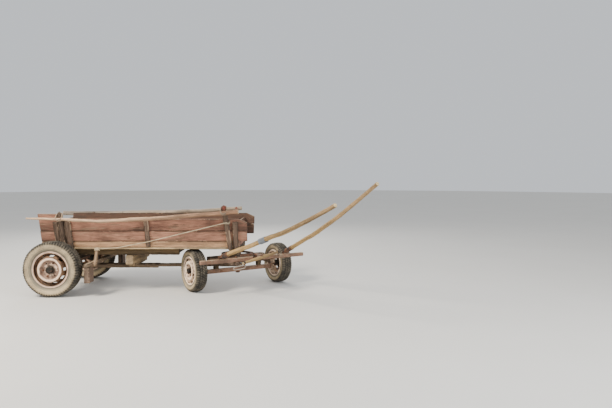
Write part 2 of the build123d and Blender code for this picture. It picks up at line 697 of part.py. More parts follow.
with BuildPart() as axle_blocks:
    with BuildSketch(fore_level(AXLE_TOP)):
        with GridLocations(0, BLOCK_IN + BLOCK_OUT, 1, 2):
            Rectangle(AXLE_BEAM_WIDE, BLOCK_OUT - BLOCK_IN)
    extrude(amount=SAND_UNDER - AXLE_TOP)
finish(axle_blocks, "axle_blocks")

with BuildPart() as sand_board:
    with BuildSketch(fore_level(SAND_UNDER)):
        Rectangle(SAND_BOARD_WIDE, 2 * SAND_BOARD_HALF)
        Circle(PIN_RADIUS + PIN_FIT, mode=Mode.SUBTRACT)
    extrude(amount=SAND_BOARD_HIGH)
    sand_ends = sand_board.faces().filter_by(lambda face: abs(face.normal_at().dot(ACROSS)) > 0.99)
    chamfer([face.edges().group_by(Axis.Z)[-1] for face in sand_ends],
            length=SAND_BOARD_CHAMFER)
finish(sand_board, "sand_board")

# Hounds carry the splinter bar ahead of the sand board
bar_under = BAR_TOP - BAR_HIGH
with BuildPart() as hounds:
    with BuildSketch(fore_level(bar_under - HOUND_HIGH)):
        for side in (-1, 1):
            with Locations(((SAND_BOARD_WIDE / 2 + BAR_AHEAD + HOUND_NOSE) / 2, side * HOUND_OUT)):
                Rectangle(BAR_AHEAD + HOUND_NOSE - SAND_BOARD_WIDE / 2, HOUND_WIDE)
    extrude(amount=HOUND_HIGH)
finish(hounds, "hounds")

with BuildPart() as splinter_bar:
    with BuildSketch(fore_level(bar_under)):
        with Locations((BAR_AHEAD, 0)):
            Rectangle(BAR_WIDE, 2 * BAR_HALF)
    extrude(amount=BAR_HIGH)
finish(splinter_bar, "splinter_bar")

# Ears on the splinter bar, with the shafts' hinge pins
ear_step = SHAFT_EYE_HALF + EAR_GAP + EAR_THICK / 2
with BuildPart() as shaft_ears:
    for side in (-1, 1):
        for ear in (-1, 1):
            with BuildSketch(fore_side(side * SHAFT_Y + ear * ear_step)):
                with BuildLine():
                    half = SHAFT_EYE_RADIUS
                    Line((BAR_AHEAD - half, BAR_TOP), (BAR_AHEAD + half, BAR_TOP))
                    Line((BAR_AHEAD + half, BAR_TOP), (BAR_AHEAD + half, SHAFT_PIN_Z))
                    ThreePointArc((BAR_AHEAD + half, SHAFT_PIN_Z), (BAR_AHEAD, SHAFT_PIN_Z + half),
                                  (BAR_AHEAD - half, SHAFT_PIN_Z))
                    Line((BAR_AHEAD - half, SHAFT_PIN_Z), (BAR_AHEAD - half, BAR_TOP))
                make_face()
            extrude(amount=EAR_THICK / 2, both=True)
        with BuildSketch(fore_side(side * SHAFT_Y)):
            with Locations((BAR_AHEAD, SHAFT_PIN_Z)):
                Circle(SHAFT_PIN_RADIUS)
        extrude(amount=ear_step + EAR_THICK, both=True)
finish(shaft_ears, "shaft_ears")


# Shafts: tapered poles in iron sockets with a hinge eye
def shaft_point(reed, side):
    """Middle of a shaft at a station."""
    return fore_point(BAR_AHEAD + reed.ahead, side * (SHAFT_Y - reed.drift), SHAFT_PIN_Z + reed.rise)


def shaft_plane(stations, place, side):
    """Plane square to the shaft's run at a station."""
    before = shaft_point(stations[max(place - 1, 0)], side)
    after = shaft_point(stations[min(place + 1, len(stations) - 1)], side)
    return Plane(origin=shaft_point(stations[place], side), x_dir=ACROSS, z_dir=after - before)


def make_shaft(stations, side):
    """Shaft pole: ruled through its stations, then a straight round tip."""
    with BuildPart() as shaft:
        last = len(stations) - 1
        for place, reed in enumerate(stations):
            with BuildSketch(shaft_plane(stations, place, side)):
                Circle(reed.radius)
        loft(ruled=True)
        with BuildSketch(shaft_plane(stations, last, side)):
            Circle(stations[last].radius)
        extrude(amount=SHAFT_TIP_LONG)
    return shaft


def make_shaft_iron(stations, side):
    """Hinge eye, heel strap and the socket round the shaft's rear end."""
    heel_plane = shaft_plane(stations, 0, side)
    bore = stations[0].radius + FIT
    with BuildPart() as iron:
        with BuildSketch(fore_side(side * SHAFT_Y)):
            with Locations((BAR_AHEAD, SHAFT_PIN_Z)):
                Circle(SHAFT_EYE_RADIUS)
        extrude(amount=SHAFT_EYE_HALF, both=True)
        with BuildSketch(heel_plane.offset(NECK_REACH - SHAFT_HEEL)):
            Rectangle(2 * SHAFT_EYE_HALF - 2 * NECK_SIDE, NECK_HIGH)
        with BuildSketch(heel_plane.offset(-SOCKET_FLOOR)):
            Rectangle(2 * SHAFT_EYE_HALF - 2 * NECK_SIDE, NECK_FLARE)
        loft(ruled=True)
        with BuildSketch(heel_plane.offset(-SOCKET_FLOOR)):
            Circle(bore + SOCKET_WALL)
        extrude(amount=SOCKET_LONG)
        with BuildSketch(heel_plane.offset(-FIT)):
            Circle(bore)
        extrude(amount=SOCKET_LONG, mode=Mode.SUBTRACT)
        with BuildSketch(fore_side(side * SHAFT_Y)):
            with Locations((BAR_AHEAD, SHAFT_PIN_Z)):
                Circle(SHAFT_PIN_RADIUS + PIN_FIT)
        extrude(amount=2 * SHAFT_EYE_HALF, both=True, mode=Mode.SUBTRACT)
    return iron


shaft_right = make_shaft(RIGHT_SHAFT, -1)
finish(shaft_right, "shaft_right")
shaft_left = make_shaft(LEFT_SHAFT, 1)
finish(shaft_left, "shaft_left")
shaft_iron_right = make_shaft_iron(RIGHT_SHAFT, -1)
finish(shaft_iron_right, "shaft_iron_right")
shaft_iron_left = make_shaft_iron(LEFT_SHAFT, 1)
finish(shaft_iron_left, "shaft_iron_left")

# Swingletree on its tongue, tilted as it hangs
TREE_SQUARE = Plane(origin=fore_point(TREE_AHEAD, 0, TREE_Z),
                    x_dir=ACROSS * cos(radians(TREE_TILT)) + Vector(0, 0, sin(radians(TREE_TILT))),
                    z_dir=Vector(0, 0, cos(radians(TREE_TILT))) - ACROSS * sin(radians(TREE_TILT)))
TREE = Plane(origin=TREE_SQUARE.origin, z_dir=TREE_SQUARE.z_dir,
             x_dir=TREE_SQUARE.x_dir * cos(radians(TREE_YAW)) + TREE_SQUARE.y_dir * sin(radians(TREE_YAW)))

with BuildPart() as tree_tongue:
    tongue_reach = TREE_AHEAD - BAR_AHEAD - BAR_WIDE / 2
    plate = TREE_RADIUS + TREE_PLAY + TONGUE_THICK
    for level in (TREE_RADIUS + TREE_PLAY, -plate):
        with BuildSketch(TREE_SQUARE.offset(level)):
            with Locations((0, tongue_reach / 2)):
                Rectangle(TONGUE_WIDE, tongue_reach)
            Circle(TONGUE_WIDE / 2)
        extrude(amount=TONGUE_THICK)
    with BuildSketch(fore_front(BAR_AHEAD + BAR_WIDE / 2)):
        with Locations((0, TREE_Z)):
            Rectangle(TONGUE_WIDE + 2 * TONGUE_FOOT_SIDE, 2 * plate + 2 * TONGUE_FOOT_END)
    extrude(amount=TONGUE_THICK)
    with BuildSketch(TREE_SQUARE):
        Circle(TREE_PIN_RADIUS)
    extrude(amount=plate + TREE_PIN_END, both=True)
finish(tree_tongue, "tree_tongue")

with BuildPart() as swingletree:
    with BuildSketch(TREE):
        with BuildLine():
            Line((-TREE_HALF, 0), (-TREE_HALF, TREE_END_RADIUS))
            Line((-TREE_HALF, TREE_END_RADIUS), (-TREE_FLAT, TREE_RADIUS))
            Line((-TREE_FLAT, TREE_RADIUS), (TREE_FLAT, TREE_RADIUS))
            Line((TREE_FLAT, TREE_RADIUS), (TREE_HALF, TREE_END_RADIUS))
            Line((TREE_HALF, TREE_END_RADIUS), (TREE_HALF, 0))
            Line((TREE_HALF, 0), (-TREE_HALF, 0))
        make_face()
    revolve(axis=Axis(TREE.origin, TREE.x_dir))
    with BuildSketch(TREE):
        Circle(TREE_PIN_RADIUS + PIN_FIT)
    extrude(amount=2 * TREE_RADIUS, both=True, mode=Mode.SUBTRACT)
finish(swingletree, "swingletree")

with BuildPart() as tree_eyes:
    for end in (-1, 1):
        band = Plane(origin=TREE.from_local_coords((end * (TREE_HALF - BAND_IN), 0, 0)), x_dir=TREE.y_dir,
                     z_dir=TREE.x_dir)
        with BuildSketch(band):
            Circle(TREE_END_RADIUS + BAND_THICK)
            Circle(TREE_END_RADIUS + BAND_PLAY, mode=Mode.SUBTRACT)
        extrude(amount=BAND_WIDE / 2, both=True)
        eye_drop = TREE_END_RADIUS + BAND_THICK + EYE_RADIUS + EYE_WIRE - EYE_SINK
        eye = Plane(origin=TREE.from_local_coords((end * (TREE_HALF - BAND_IN), 0, -eye_drop)),
                    x_dir=TREE.x_dir, z_dir=TREE.z_dir)
        with BuildSketch(eye):
            with Locations((EYE_RADIUS, 0)):
                Circle(EYE_WIRE)
        revolve(axis=Axis(eye.origin, eye.y_dir))
finish(tree_eyes, "tree_eyes")


# Wheels
def make_tyre(spec, hub, outward):
    """Tyre section turned round the axle: bead, sidewall, shoulder and crowned tread."""
    half = spec.tyre_width / 2
    bead = spec.bead_half
    bead_top = spec.bead_radius + FLANGE_HIGH + FLANGE_SHOW
    belly = (spec.bead_radius + spec.tyre_radius) / 2
    edge = half - SHOULDER_IN
    shoulder_radius = spec.tyre_radius - SHOULDER_DROP
    tread = half - TREAD_IN
    tread_radius = spec.tyre_radius - TREAD_CROWN
    plane = wheel_plane(hub, outward)
    with BuildPart() as tyre:
        with BuildSketch(plane):
            with BuildLine():
                Line((-bead, spec.bead_radius), (bead, spec.bead_radius))
                Line((bead, spec.bead_radius), (bead, bead_top))
                ThreePointArc((bead, bead_top), (half, belly), (edge, shoulder_radius))
                Line((edge, shoulder_radius), (tread, tread_radius))
                ThreePointArc((tread, tread_radius), (0, spec.tyre_radius), (-tread, tread_radius))
                Line((-tread, tread_radius), (-edge, shoulder_radius))
                ThreePointArc((-edge, shoulder_radius), (-half, belly), (-bead, bead_top))
                Line((-bead, bead_top), (-bead, spec.bead_radius))
            make_face()
        revolve(axis=Axis(hub, outward))
    return tyre


def make_rim(spec, hub, outward):
    """Rolled rim with its drop well, and the pressed disc with its ridge, slots and bolt holes."""
    plane = wheel_plane(hub, outward)
    seat = spec.bead_radius - BEAD_FIT - RIM_SHEET / 2
    lip = spec.bead_half + FIT + RIM_SHEET / 2
    top = spec.bead_radius + FLANGE_HIGH
    slope_end = spec.well_half + WELL_SLOPE
    barrel = [(lip + FLANGE_CURL, top), (lip, top - FLANGE_CURL), (lip, seat), (slope_end, seat),
              (spec.well_half, spec.well_radius), (-spec.well_half, spec.well_radius),
              (-slope_end, seat), (-lip, seat), (-lip, top - FLANGE_CURL), (-lip - FLANGE_CURL, top)]
    seat_radius = spec.well_radius - (RIM_SHEET + DISC_SHEET) / 2
    disc = [(spec.seat_out - SEAT_TAIL, seat_radius), (spec.seat_out, seat_radius),
            (spec.slope_out, spec.slope_radius), (spec.ridge_out, spec.ridge_radius + RIDGE_OUTER),
            (spec.ridge_out, spec.ridge_radius - RIDGE_INNER), (spec.floor_out, spec.floor_radius),
            (spec.floor_out, spec.hub_radius + HUB_PILOT)]
    with BuildPart() as rim:
        with BuildSketch(plane):
            with BuildLine():
                Polyline(*barrel)
            trace(line_width=RIM_SHEET)
            with BuildLine():
                FilletPolyline(*disc, radius=PRESS_RADIUS)
            trace(line_width=DISC_SHEET)
        revolve(axis=Axis(hub, outward))
        with BuildSketch(face_plane(hub, outward, spec.seat_out - CUT_BACK)):
            with PolarLocations(spec.slot_radius, spec.slot_count, start_angle=FIRST_HOLE):
                Rectangle(spec.slot_wide, spec.slot_long)
        extrude(amount=spec.ridge_out, mode=Mode.SUBTRACT)
        with BuildSketch(face_plane(hub, outward, spec.floor_out)):
            with PolarLocations(spec.lug_radius, spec.lug_count, start_angle=FIRST_HOLE):
                Circle(spec.lug_hole)
        extrude(amount=CUT_BACK, both=True, mode=Mode.SUBTRACT)
    return rim


def make_hub(spec, hub, outward):
    """Bearing hub with its flange behind the disc and the big nut cap in front."""
    plane = wheel_plane(hub, outward)
    back = spec.floor_out - DISC_SHEET / 2
    flange_back = back - HUB_FLANGE_THICK
    bore = spec.spindle_radius + PIN_FIT
    end = spec.floor_out + HUB_PILOT
    cap_back = spec.floor_out + CAP_SEAT
    pilot = spec.hub_radius - HUB_PILOT
    barrel = spec.hub_radius + HUB_WALL
    with BuildPart() as piece:
        with BuildSketch(plane):
            with BuildLine():
                Polyline((spec.hub_inner, bore), (end, bore), (end, 0), (cap_back, 0), (cap_back, pilot),
                         (back, pilot), (back, spec.flange_radius), (flange_back, spec.flange_radius),
                         (flange_back, barrel), (spec.hub_inner, barrel), close=True)
            make_face()
        revolve(axis=Axis(hub, outward))
        with BuildSketch(face_plane(hub, outward, cap_back)):
            RegularPolygon(spec.cap_across / 2, 8, major_radius=False)
        extrude(amount=spec.cap_out - cap_back)
        chamfer(piece.faces().filter_by(lambda face: abs(face.normal_at().dot(outward)) > 0.99)
                .sort_by(Axis(hub, outward))[-1].edges(), length=CAP_CHAMFER)
    return piece


rear_hub = Vector(REAR_AXLE_X, 0, REAR_HUB_Z)
sideways = Vector(0, 1, 0)
WHEELS = [
    ("rear_right", REAR, rear_hub - sideways * REAR_HALF_TRACK, -sideways),
    ("rear_left", REAR, rear_hub + sideways * REAR_HALF_TRACK, sideways),
    ("front_right", FRONT, fore_point(0, -FRONT_HALF_TRACK, FRONT_HUB_Z), -ACROSS),
    ("front_left", FRONT, fore_point(0, FRONT_HALF_TRACK, FRONT_HUB_Z), ACROSS),
]
for place, spec, hub, outward in WHEELS:
    finish(make_tyre(spec, hub, outward), f"tyre_{place}")
    finish(make_rim(spec, hub, outward), f"rim_{place}")
    finish(make_hub(spec, hub, outward), f"hub_{place}")
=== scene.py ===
"""Finish of the farm cart: worn timbers, grown poles, treaded tyres, iron, rope and stage."""

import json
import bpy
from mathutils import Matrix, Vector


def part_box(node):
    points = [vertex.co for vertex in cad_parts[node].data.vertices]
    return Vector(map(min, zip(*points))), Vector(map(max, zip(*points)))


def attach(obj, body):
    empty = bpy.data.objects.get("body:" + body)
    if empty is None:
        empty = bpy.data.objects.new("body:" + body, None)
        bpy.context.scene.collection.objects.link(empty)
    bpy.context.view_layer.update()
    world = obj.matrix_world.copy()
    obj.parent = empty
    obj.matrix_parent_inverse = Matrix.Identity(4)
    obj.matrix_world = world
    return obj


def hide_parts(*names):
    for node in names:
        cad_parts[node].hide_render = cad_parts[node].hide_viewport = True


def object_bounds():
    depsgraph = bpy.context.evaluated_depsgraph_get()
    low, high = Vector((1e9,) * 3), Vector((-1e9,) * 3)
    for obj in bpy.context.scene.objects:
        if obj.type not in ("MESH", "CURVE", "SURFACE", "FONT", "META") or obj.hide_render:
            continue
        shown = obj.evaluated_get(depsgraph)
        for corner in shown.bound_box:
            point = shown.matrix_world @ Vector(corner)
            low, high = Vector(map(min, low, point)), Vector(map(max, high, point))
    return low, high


bl_info = {
    "name": "Farm cart finish",
    "version": (1, 0, 0),
    "blender": (4, 5, 0),
    "location": "3D View > Sidebar > Cart",
    "description": "Worn timber, tyres, iron and rope for the packed farm cart, and its stage",
    "category": "Object",
}

from collections import namedtuple
from functools import partial
from math import cos, pi, radians, sin, tan

import bpy
import numpy as np
from mathutils import Vector

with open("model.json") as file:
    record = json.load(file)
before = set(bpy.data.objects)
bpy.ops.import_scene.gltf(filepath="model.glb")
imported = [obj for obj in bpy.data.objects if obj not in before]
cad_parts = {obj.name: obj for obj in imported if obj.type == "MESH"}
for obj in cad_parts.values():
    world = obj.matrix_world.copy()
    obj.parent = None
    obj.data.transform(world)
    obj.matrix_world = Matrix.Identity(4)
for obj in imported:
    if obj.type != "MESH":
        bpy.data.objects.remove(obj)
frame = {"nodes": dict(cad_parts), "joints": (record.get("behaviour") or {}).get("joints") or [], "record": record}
CAD_BOX = [list(corner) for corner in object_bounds()]

# Directions of the cart and of its turned forecarriage
JOINTS = {joint["name"]: joint for joint in frame["joints"]}
FORWARD, LEFTWARD, UP = np.eye(3)
ACROSS = np.array(JOINTS["wheel_front_left_spin"]["axis"])
AHEAD = np.cross(ACROSS, UP)
STEER_PIN = np.array(JOINTS["steer"]["pos_m"])
PIN_ACROSS = float(ACROSS @ STEER_PIN)
SIDES = {"right": -1, "left": 1}
LEAN = radians(17.0)          # the sides lean out
STAKE_LEAN = radians(6.0)     # the front stakes lean back
LEVER_LEAN = radians(9.5)
SLOPE = {side: np.array([0.0, side * sin(LEAN), cos(LEAN)]) for side in SIDES.values()}
OUTWARD = {side: np.array([0.0, side * cos(LEAN), -sin(LEAN)]) for side in SIDES.values()}
SIDE_FOOT_Y = 0.420
FLOOR_UNDER = -0.025
SIDE_THICK = 0.025
STAKE_THICK = 0.045
FIT = 0.0003                  # gap between a rave pole and its stakes
GROUND = CAD_BOX[0][2]

# Axes of a timber: along its grain, across its face, through its thickness
AXES = {
    "long": (FORWARD, LEFTWARD, UP),
    "cross": (LEFTWARD, UP, FORWARD),
    "upright": (UP, FORWARD, LEFTWARD),
    "lever": (sin(LEVER_LEAN) * FORWARD + cos(LEVER_LEAN) * UP,
              cos(LEVER_LEAN) * FORWARD - sin(LEVER_LEAN) * UP, LEFTWARD),
    "fore long": (AHEAD, ACROSS, UP),
    "fore cross": (ACROSS, UP, AHEAD),
    "fore upright": (UP, AHEAD, ACROSS),
}
for word, side in SIDES.items():
    AXES[word + " plank"] = (FORWARD, SLOPE[side], OUTWARD[side])
    AXES[word + " batten"] = (SLOPE[side], FORWARD, OUTWARD[side])
    AXES[word + " leaning stake"] = (cos(STAKE_LEAN) * SLOPE[side] - sin(STAKE_LEAN) * FORWARD,
                                     cos(STAKE_LEAN) * FORWARD + sin(STAKE_LEAN) * SLOPE[side],
                                     OUTWARD[side])
AXES = {name: np.array(rows) for name, rows in AXES.items()}

BODY_OF = {node: body for body, nodes in frame["record"]["behaviour"]["bodies"].items()
           for node in nodes}
SLOT_OF = {part["node"]: part["material_slot"] for part in frame["record"]["subparts"]}

# Stations of the grown poles, in metres: place along the body, height above the floor, radius
RAVE_POLES = {
    -1: [(-1.320, 0.352, 0.011), (-0.949, 0.341, 0.017), (-0.490, 0.317, 0.020),
         (0.030, 0.345, 0.0225), (0.520, 0.381, 0.025), (0.935, 0.413, 0.027),
         (1.105, 0.431, 0.0275)],
    1: [(-1.3748, 0.331, 0.0285), (-0.949, 0.330, 0.028), (-0.490, 0.336, 0.028),
        (0.030, 0.345, 0.027), (0.520, 0.361, 0.026), (0.935, 0.390, 0.025),
        (1.010, 0.396, 0.025)],
}
STAKE_STATIONS = (1, 5)       # the stations where a rave pole crosses its stakes
# Stations of the shafts: distance ahead of the hinge, rise above it, drift inward, radius
SHAFTS = {
    -1: [(0.042, 0.013, 0.0015, 0.025), (0.186, 0.056, 0.006, 0.025),
         (0.700, 0.211, 0.024, 0.0255), (1.285, 0.390, 0.043, 0.0245),
         (1.700, 0.532, 0.057, 0.0225), (1.945, 0.631, 0.066, 0.020)],
    1: [(0.042, 0.017, 0.002, 0.025), (0.186, 0.075, 0.008, 0.025), (0.680, 0.277, 0.036, 0.0255),
        (1.200, 0.520, 0.066, 0.0235), (1.700, 0.790, 0.092, 0.020)],
}
SHAFT_TIP_LONG = 0.150
SHAFT_TIP_SHORT = 0.0005      # the pole's tip stays this much inside the CAD solid
SHAFT_NAME = {side: word for word, side in SIDES.items()}
POLE_SMOOTH = 0.16            # length over which a pole's bends are rounded

# Wheels: bead seat, bolt circle, bolts that still have nuts, floor and ridge of the disc, and how
# far its paint is washed clean
WheelFit = namedtuple("WheelFit", "bead_radius bead_half lug_radius lug_count nutted floor_out "
                      "nut_across ridge_radius hub_radius washed")
REAR_FIT = WheelFit(bead_radius=0.1905, bead_half=0.074, lug_radius=0.080, lug_count=6,
                    nutted=(1, 3, 4), floor_out=0.0645, nut_across=0.022, ridge_radius=0.124,
                    hub_radius=0.040, washed=0.0)
FRONT_FIT = WheelFit(bead_radius=0.1524, bead_half=0.055, lug_radius=0.058, lug_count=5,
                     nutted=(0, 1, 3, 4), floor_out=0.0445, nut_across=0.019, ridge_radius=0.097,
                     hub_radius=0.032, washed=0.75)
LUG_START = radians(5.0)
WHEELS = {"rear_right": (REAR_FIT, -1), "rear_left": (REAR_FIT, 1),
          "front_right": (FRONT_FIT, -1), "front_left": (FRONT_FIT, 1)}


def side_y(height, out=0.0):
    """Distance of a side's outer face from the middle at a height, and a distance further out."""
    return SIDE_FOOT_Y + (height - FLOOR_UNDER) * tan(LEAN) + out / cos(LEAN)


def wheel_axle(place):
    """Hub and axis of a wheel."""
    joint = JOINTS[f"wheel_{place}_spin"]
    return np.array(joint["pos_m"]), np.array(joint["axis"])


def display(red, green, blue):
    """Linear colour of a shade given as display values from 0 to 255."""
    shade = np.array([red, green, blue]) / 255
    linear = np.where(shade < 0.04045, shade / 12.92, ((shade + 0.055) / 1.055) ** 2.4)
    return tuple(float(c) for c in linear)


def colour_setting(name, description, red, green, blue):
    """A colour property with its default."""
    return bpy.props.FloatVectorProperty(name=name, description=description, subtype="COLOR",
                                         size=3, min=0.0, max=1.0,
                                         default=display(red, green, blue))


class CartColours(bpy.types.PropertyGroup):
    """Finish colours of the cart"""
    paint: colour_setting("Plank paint", "Faded red paint of the sides", 184, 132, 108)
    paint_dark: colour_setting("Old paint", "Darker paint where it is thick", 136, 95, 80)
    bare: colour_setting("Bare plank", "Weathered bare wood of the lower planks", 208, 166, 126)
    stake: colour_setting("Stake timber", "Brown grey wood of the stakes and battens", 130, 108, 92)
    # The under timber's dark tone is painted shade: the timbers under the floor are darker to stand for the shade
    # there.
    olive: colour_setting("Under timber", "Dark timber under the floor", 104, 86, 62)
    pale: colour_setting("Dry timber", "Dry timber of the reach and brake", 150, 128, 106)
    peeled: colour_setting("Peeled pole", "Peeled wood of the right pole", 226, 190, 154)
    silver: colour_setting("Silvered pole", "Silvered wood of the left pole", 178, 162, 146)
    shaft: colour_setting("Shaft wood", "Dry golden wood of the shafts", 198, 162, 108)
    rust: colour_setting("Rust", "Rust of the irons", 104, 62, 42)
    steel_paint: colour_setting("Axle paint", "Faded red of axles and splinter bar", 140, 106, 84)
    rim: colour_setting("Rim paint", "Dusty cream paint of the wheels", 220, 190, 166)
    rubber: colour_setting("Rubber", "Sun-bleached rubber", 84, 80, 74)
    dust: colour_setting("Dust", "Dry field dust", 212, 190, 152)
    rope: colour_setting("Rope", "Pale hemp rope", 222, 202, 168)


class CartTimber(bpy.types.PropertyGroup):
    """Wear of the timbers"""
    step: bpy.props.FloatProperty(name="Station step", default=0.028, min=0.01,
                                  description="Distance between a timber's stations",
                                  unit="LENGTH", subtype="DISTANCE")
    wear: bpy.props.FloatProperty(name="Wear", description="Scale of dents and chipped edges",
                                  default=1.0, min=0.0, max=3.0, subtype="FACTOR")
    nail: bpy.props.FloatProperty(name="Nail head", description="Radius of a nail head",
                                  default=0.0052, unit="LENGTH", subtype="DISTANCE")


class CartTread(bpy.types.PropertyGroup):
    """Tread of the tyres"""
    pitches: bpy.props.IntProperty(name="Pitches", description="Shoulder blocks round a rear tyre",
                                   default=64, min=12)
    groove: bpy.props.FloatProperty(name="Groove depth", description="Depth of the tread grooves",
                                    default=0.0075, unit="LENGTH", subtype="DISTANCE")
    zigzag: bpy.props.FloatProperty(name="Zigzag", description="Sway of the long grooves",
                                    default=0.006, unit="LENGTH", subtype="DISTANCE")


class CartRope(bpy.types.PropertyGroup):
    """Rope and ties"""
    radius: bpy.props.FloatProperty(name="Rope radius", description="Radius of the brake rope",
                                    default=0.0055, unit="LENGTH", subtype="DISTANCE")
    lay: bpy.props.FloatProperty(name="Lay", description="Length of one turn of the strands",
                                 default=0.040, unit="LENGTH", subtype="DISTANCE")
    lobe: bpy.props.FloatProperty(name="Strand bulge", default=0.16, min=0.0, max=0.4,
                                  description="How far the three strands stand out",
                                  subtype="FACTOR")


class CartStage(bpy.types.PropertyGroup):
    """Floor, lights and camera"""
    floor: bpy.props.FloatProperty(name="Floor radius", description="Radius of the pale floor",
                                   default=40.0, unit="LENGTH", subtype="DISTANCE")
    key: bpy.props.FloatProperty(name="Key light", description="Power of the large soft light",
                                 default=900.0, unit="POWER")
    fill: bpy.props.FloatProperty(name="Fill light", description="Power of the fill light",
                                  default=260.0, unit="POWER")
    air: bpy.props.FloatProperty(name="Air light", default=0.85, min=0.0,
                                 description="Strength of the pale surroundings")
    lens: bpy.props.FloatProperty(name="Lens", description="Focal length on a 36 mm sensor",
                                  default=35.3, unit="CAMERA")
    eye: bpy.props.FloatVectorProperty(name="Camera place", description="Place over the ground",
                                       size=3, default=(1.87, -7.41, 1.42), unit="LENGTH",
                                       subtype="XYZ")
    pitch: bpy.props.FloatProperty(name="Pitch", description="How far the camera looks down",
                                   default=radians(3.05), unit="ROTATION", subtype="ANGLE")


# Surfaces
SWELL_WAVES = 8
SWELL_LENGTHS = (0.4, 1.4)    # shortest and longest wave, as shares of the reach
SWELL_GAIN = 2.2


def unit(vectors):
    """Vectors of length 1."""
    return vectors / np.linalg.norm(vectors, axis=-1, keepdims=True)


def full_turn(count):
    """Evenly spaced angles once round."""
    return np.linspace(0, 2 * pi, count, endpoint=False)


def swell(along, around, seed, reach):
    """Smooth noise, about -1 to 1: the mean of plane waves of random length, turn and phase."""
    rng = np.random.default_rng(seed)
    turn = rng.uniform(0, 2 * pi, SWELL_WAVES)
    rate = 2 * pi / (reach * rng.uniform(*SWELL_LENGTHS, SWELL_WAVES))
    phase = rng.uniform(0, 2 * pi, SWELL_WAVES)
    way = along[..., None] * np.cos(turn) + around[..., None] * np.sin(turn)
    return np.clip(np.sin(way * rate + phase).mean(axis=-1) * SWELL_GAIN, -1, 1)


def outward_faces(points, faces):
    """The faces, each turned round if the volume that they enclose together is negative."""
    volume = 0.0
    for block in faces:
        first = points[block[:, 0]]
        for step in range(1, block.shape[1] - 1):
            cross = np.cross(points[block[:, step]], points[block[:, step + 1]])
            volume += float((first * cross).sum())
    return faces if volume > 0 else [block[:, ::-1] for block in faces]


def sweep(rings, grain=None, edge=0.0, tint=0.0, board=0.0, loop=False, **more):
    """Surface through rings of points: neighbours on two rings make quads. The ends close on their
    middles, or the last ring meets the first if it is a loop. Its marks, such as edge and tint, are
    values spread over the rings, and the grain is a place in the wood, or else the point itself."""
    stations, around = rings.shape[:2]
    count = stations * around
    marks = {"edge": edge, "tint": tint, "board": board, **more}
    marks = {name: np.broadcast_to(mark, (stations, around)) for name, mark in marks.items()}
    marks["grain"] = rings if grain is None else grain
    index = np.arange(count).reshape(stations, around)
    beside = np.roll(index, -1, axis=1)
    points = rings.reshape(-1, 3)
    flat = {name: mark.reshape((count,) + mark.shape[2:]) for name, mark in marks.items()}
    if loop:
        onward, onward_beside = (np.roll(side, -1, axis=0) for side in (index, beside))
        faces = [np.stack([index, beside, onward_beside, onward], axis=-1).reshape(-1, 4)]
    else:
        quads = np.stack([index[:-1], beside[:-1], beside[1:], index[1:]], axis=-1)
        start = np.stack([beside[0], index[0], np.full(around, count)], axis=-1)
        end = np.stack([index[-1], beside[-1], np.full(around, count + 1)], axis=-1)
        faces = [quads.reshape(-1, 4), start, end]
        points = np.concatenate([points, rings[:1].mean(axis=1), rings[-1:].mean(axis=1)])
        flat = {name: np.concatenate([mark, marks[name][:1].mean(axis=1),
                                      marks[name][-1:].mean(axis=1)])
                for name, mark in flat.items()}
    return {"points": points, "faces": outward_faces(points, faces), "marks": flat}


def link(name, data):
    """New object in the scene."""
    thing = bpy.data.objects.new(name, data)
    bpy.context.scene.collection.objects.link(thing)
    return thing


CREASE = 38.0                 # angle in degrees above which an edge is sharp


def put(name, surfaces, body, slot, stands_for=(), crease=CREASE, finish=None):
    """Joins closed surfaces into one piece with its marks and the slot's finish, or another, and
    lets it ride on its body."""
    start = 0
    faces = []
    for surface in surfaces:
        for block in surface["faces"]:
            faces += (block + start).tolist()
        start += len(surface["points"])
    points = np.concatenate([surface["points"] for surface in surfaces])
    mesh = bpy.data.meshes.new(name)
    mesh.from_pydata(points.tolist(), [], faces)
    for mark in surfaces[0]["marks"]:
        values = np.concatenate([surface["marks"][mark] for surface in surfaces])
        kind, field = ("FLOAT_VECTOR", "vector") if values.ndim == 2 else ("FLOAT", "value")
        data = mesh.attributes.new(mark, kind, "POINT").data
        data.foreach_set(field, values.astype(np.float32).ravel())
    mesh.materials.append(FINISHES[finish or slot])
    mesh.shade_smooth()
    mesh.set_sharp_from_angle(angle=radians(crease))
    piece = link(name, mesh)
    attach(piece, body)
    if stands_for:
        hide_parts(*stands_for)
    return piece


def solids_of(node, order=(0, 1, 2)):
    """Point arrays of the separate solids of a CAD node, sorted by their middles along the axes of
    the order. Points that share triangles come to share the lowest label."""
    mesh = frame["nodes"][node].data
    places = np.empty(len(mesh.vertices) * 3, np.float32)
    mesh.vertices.foreach_get("co", places)
    mesh.calc_loop_triangles()
    corners = np.empty(len(mesh.loop_triangles) * 3, np.int32)
    mesh.loop_triangles.foreach_get("vertices", corners)
    points, same = np.unique(np.round(places.reshape(-1, 3).astype(float), 5), axis=0,
                             return_inverse=True)
    triangles = same.reshape(-1)[corners].reshape(-1, 3)
    label, before = np.arange(len(points)), None
    while before is None or (label != before).any():
        before = label.copy()
        lowest = label[triangles].min(axis=1)
        np.minimum.at(label, triangles.ravel(), np.repeat(lowest, 3))
        label = label[label]
    solids = [points[label == value] for value in np.unique(label)]
    return sorted(solids, key=lambda solid: tuple(solid.mean(axis=0).round(3)[list(order)]))


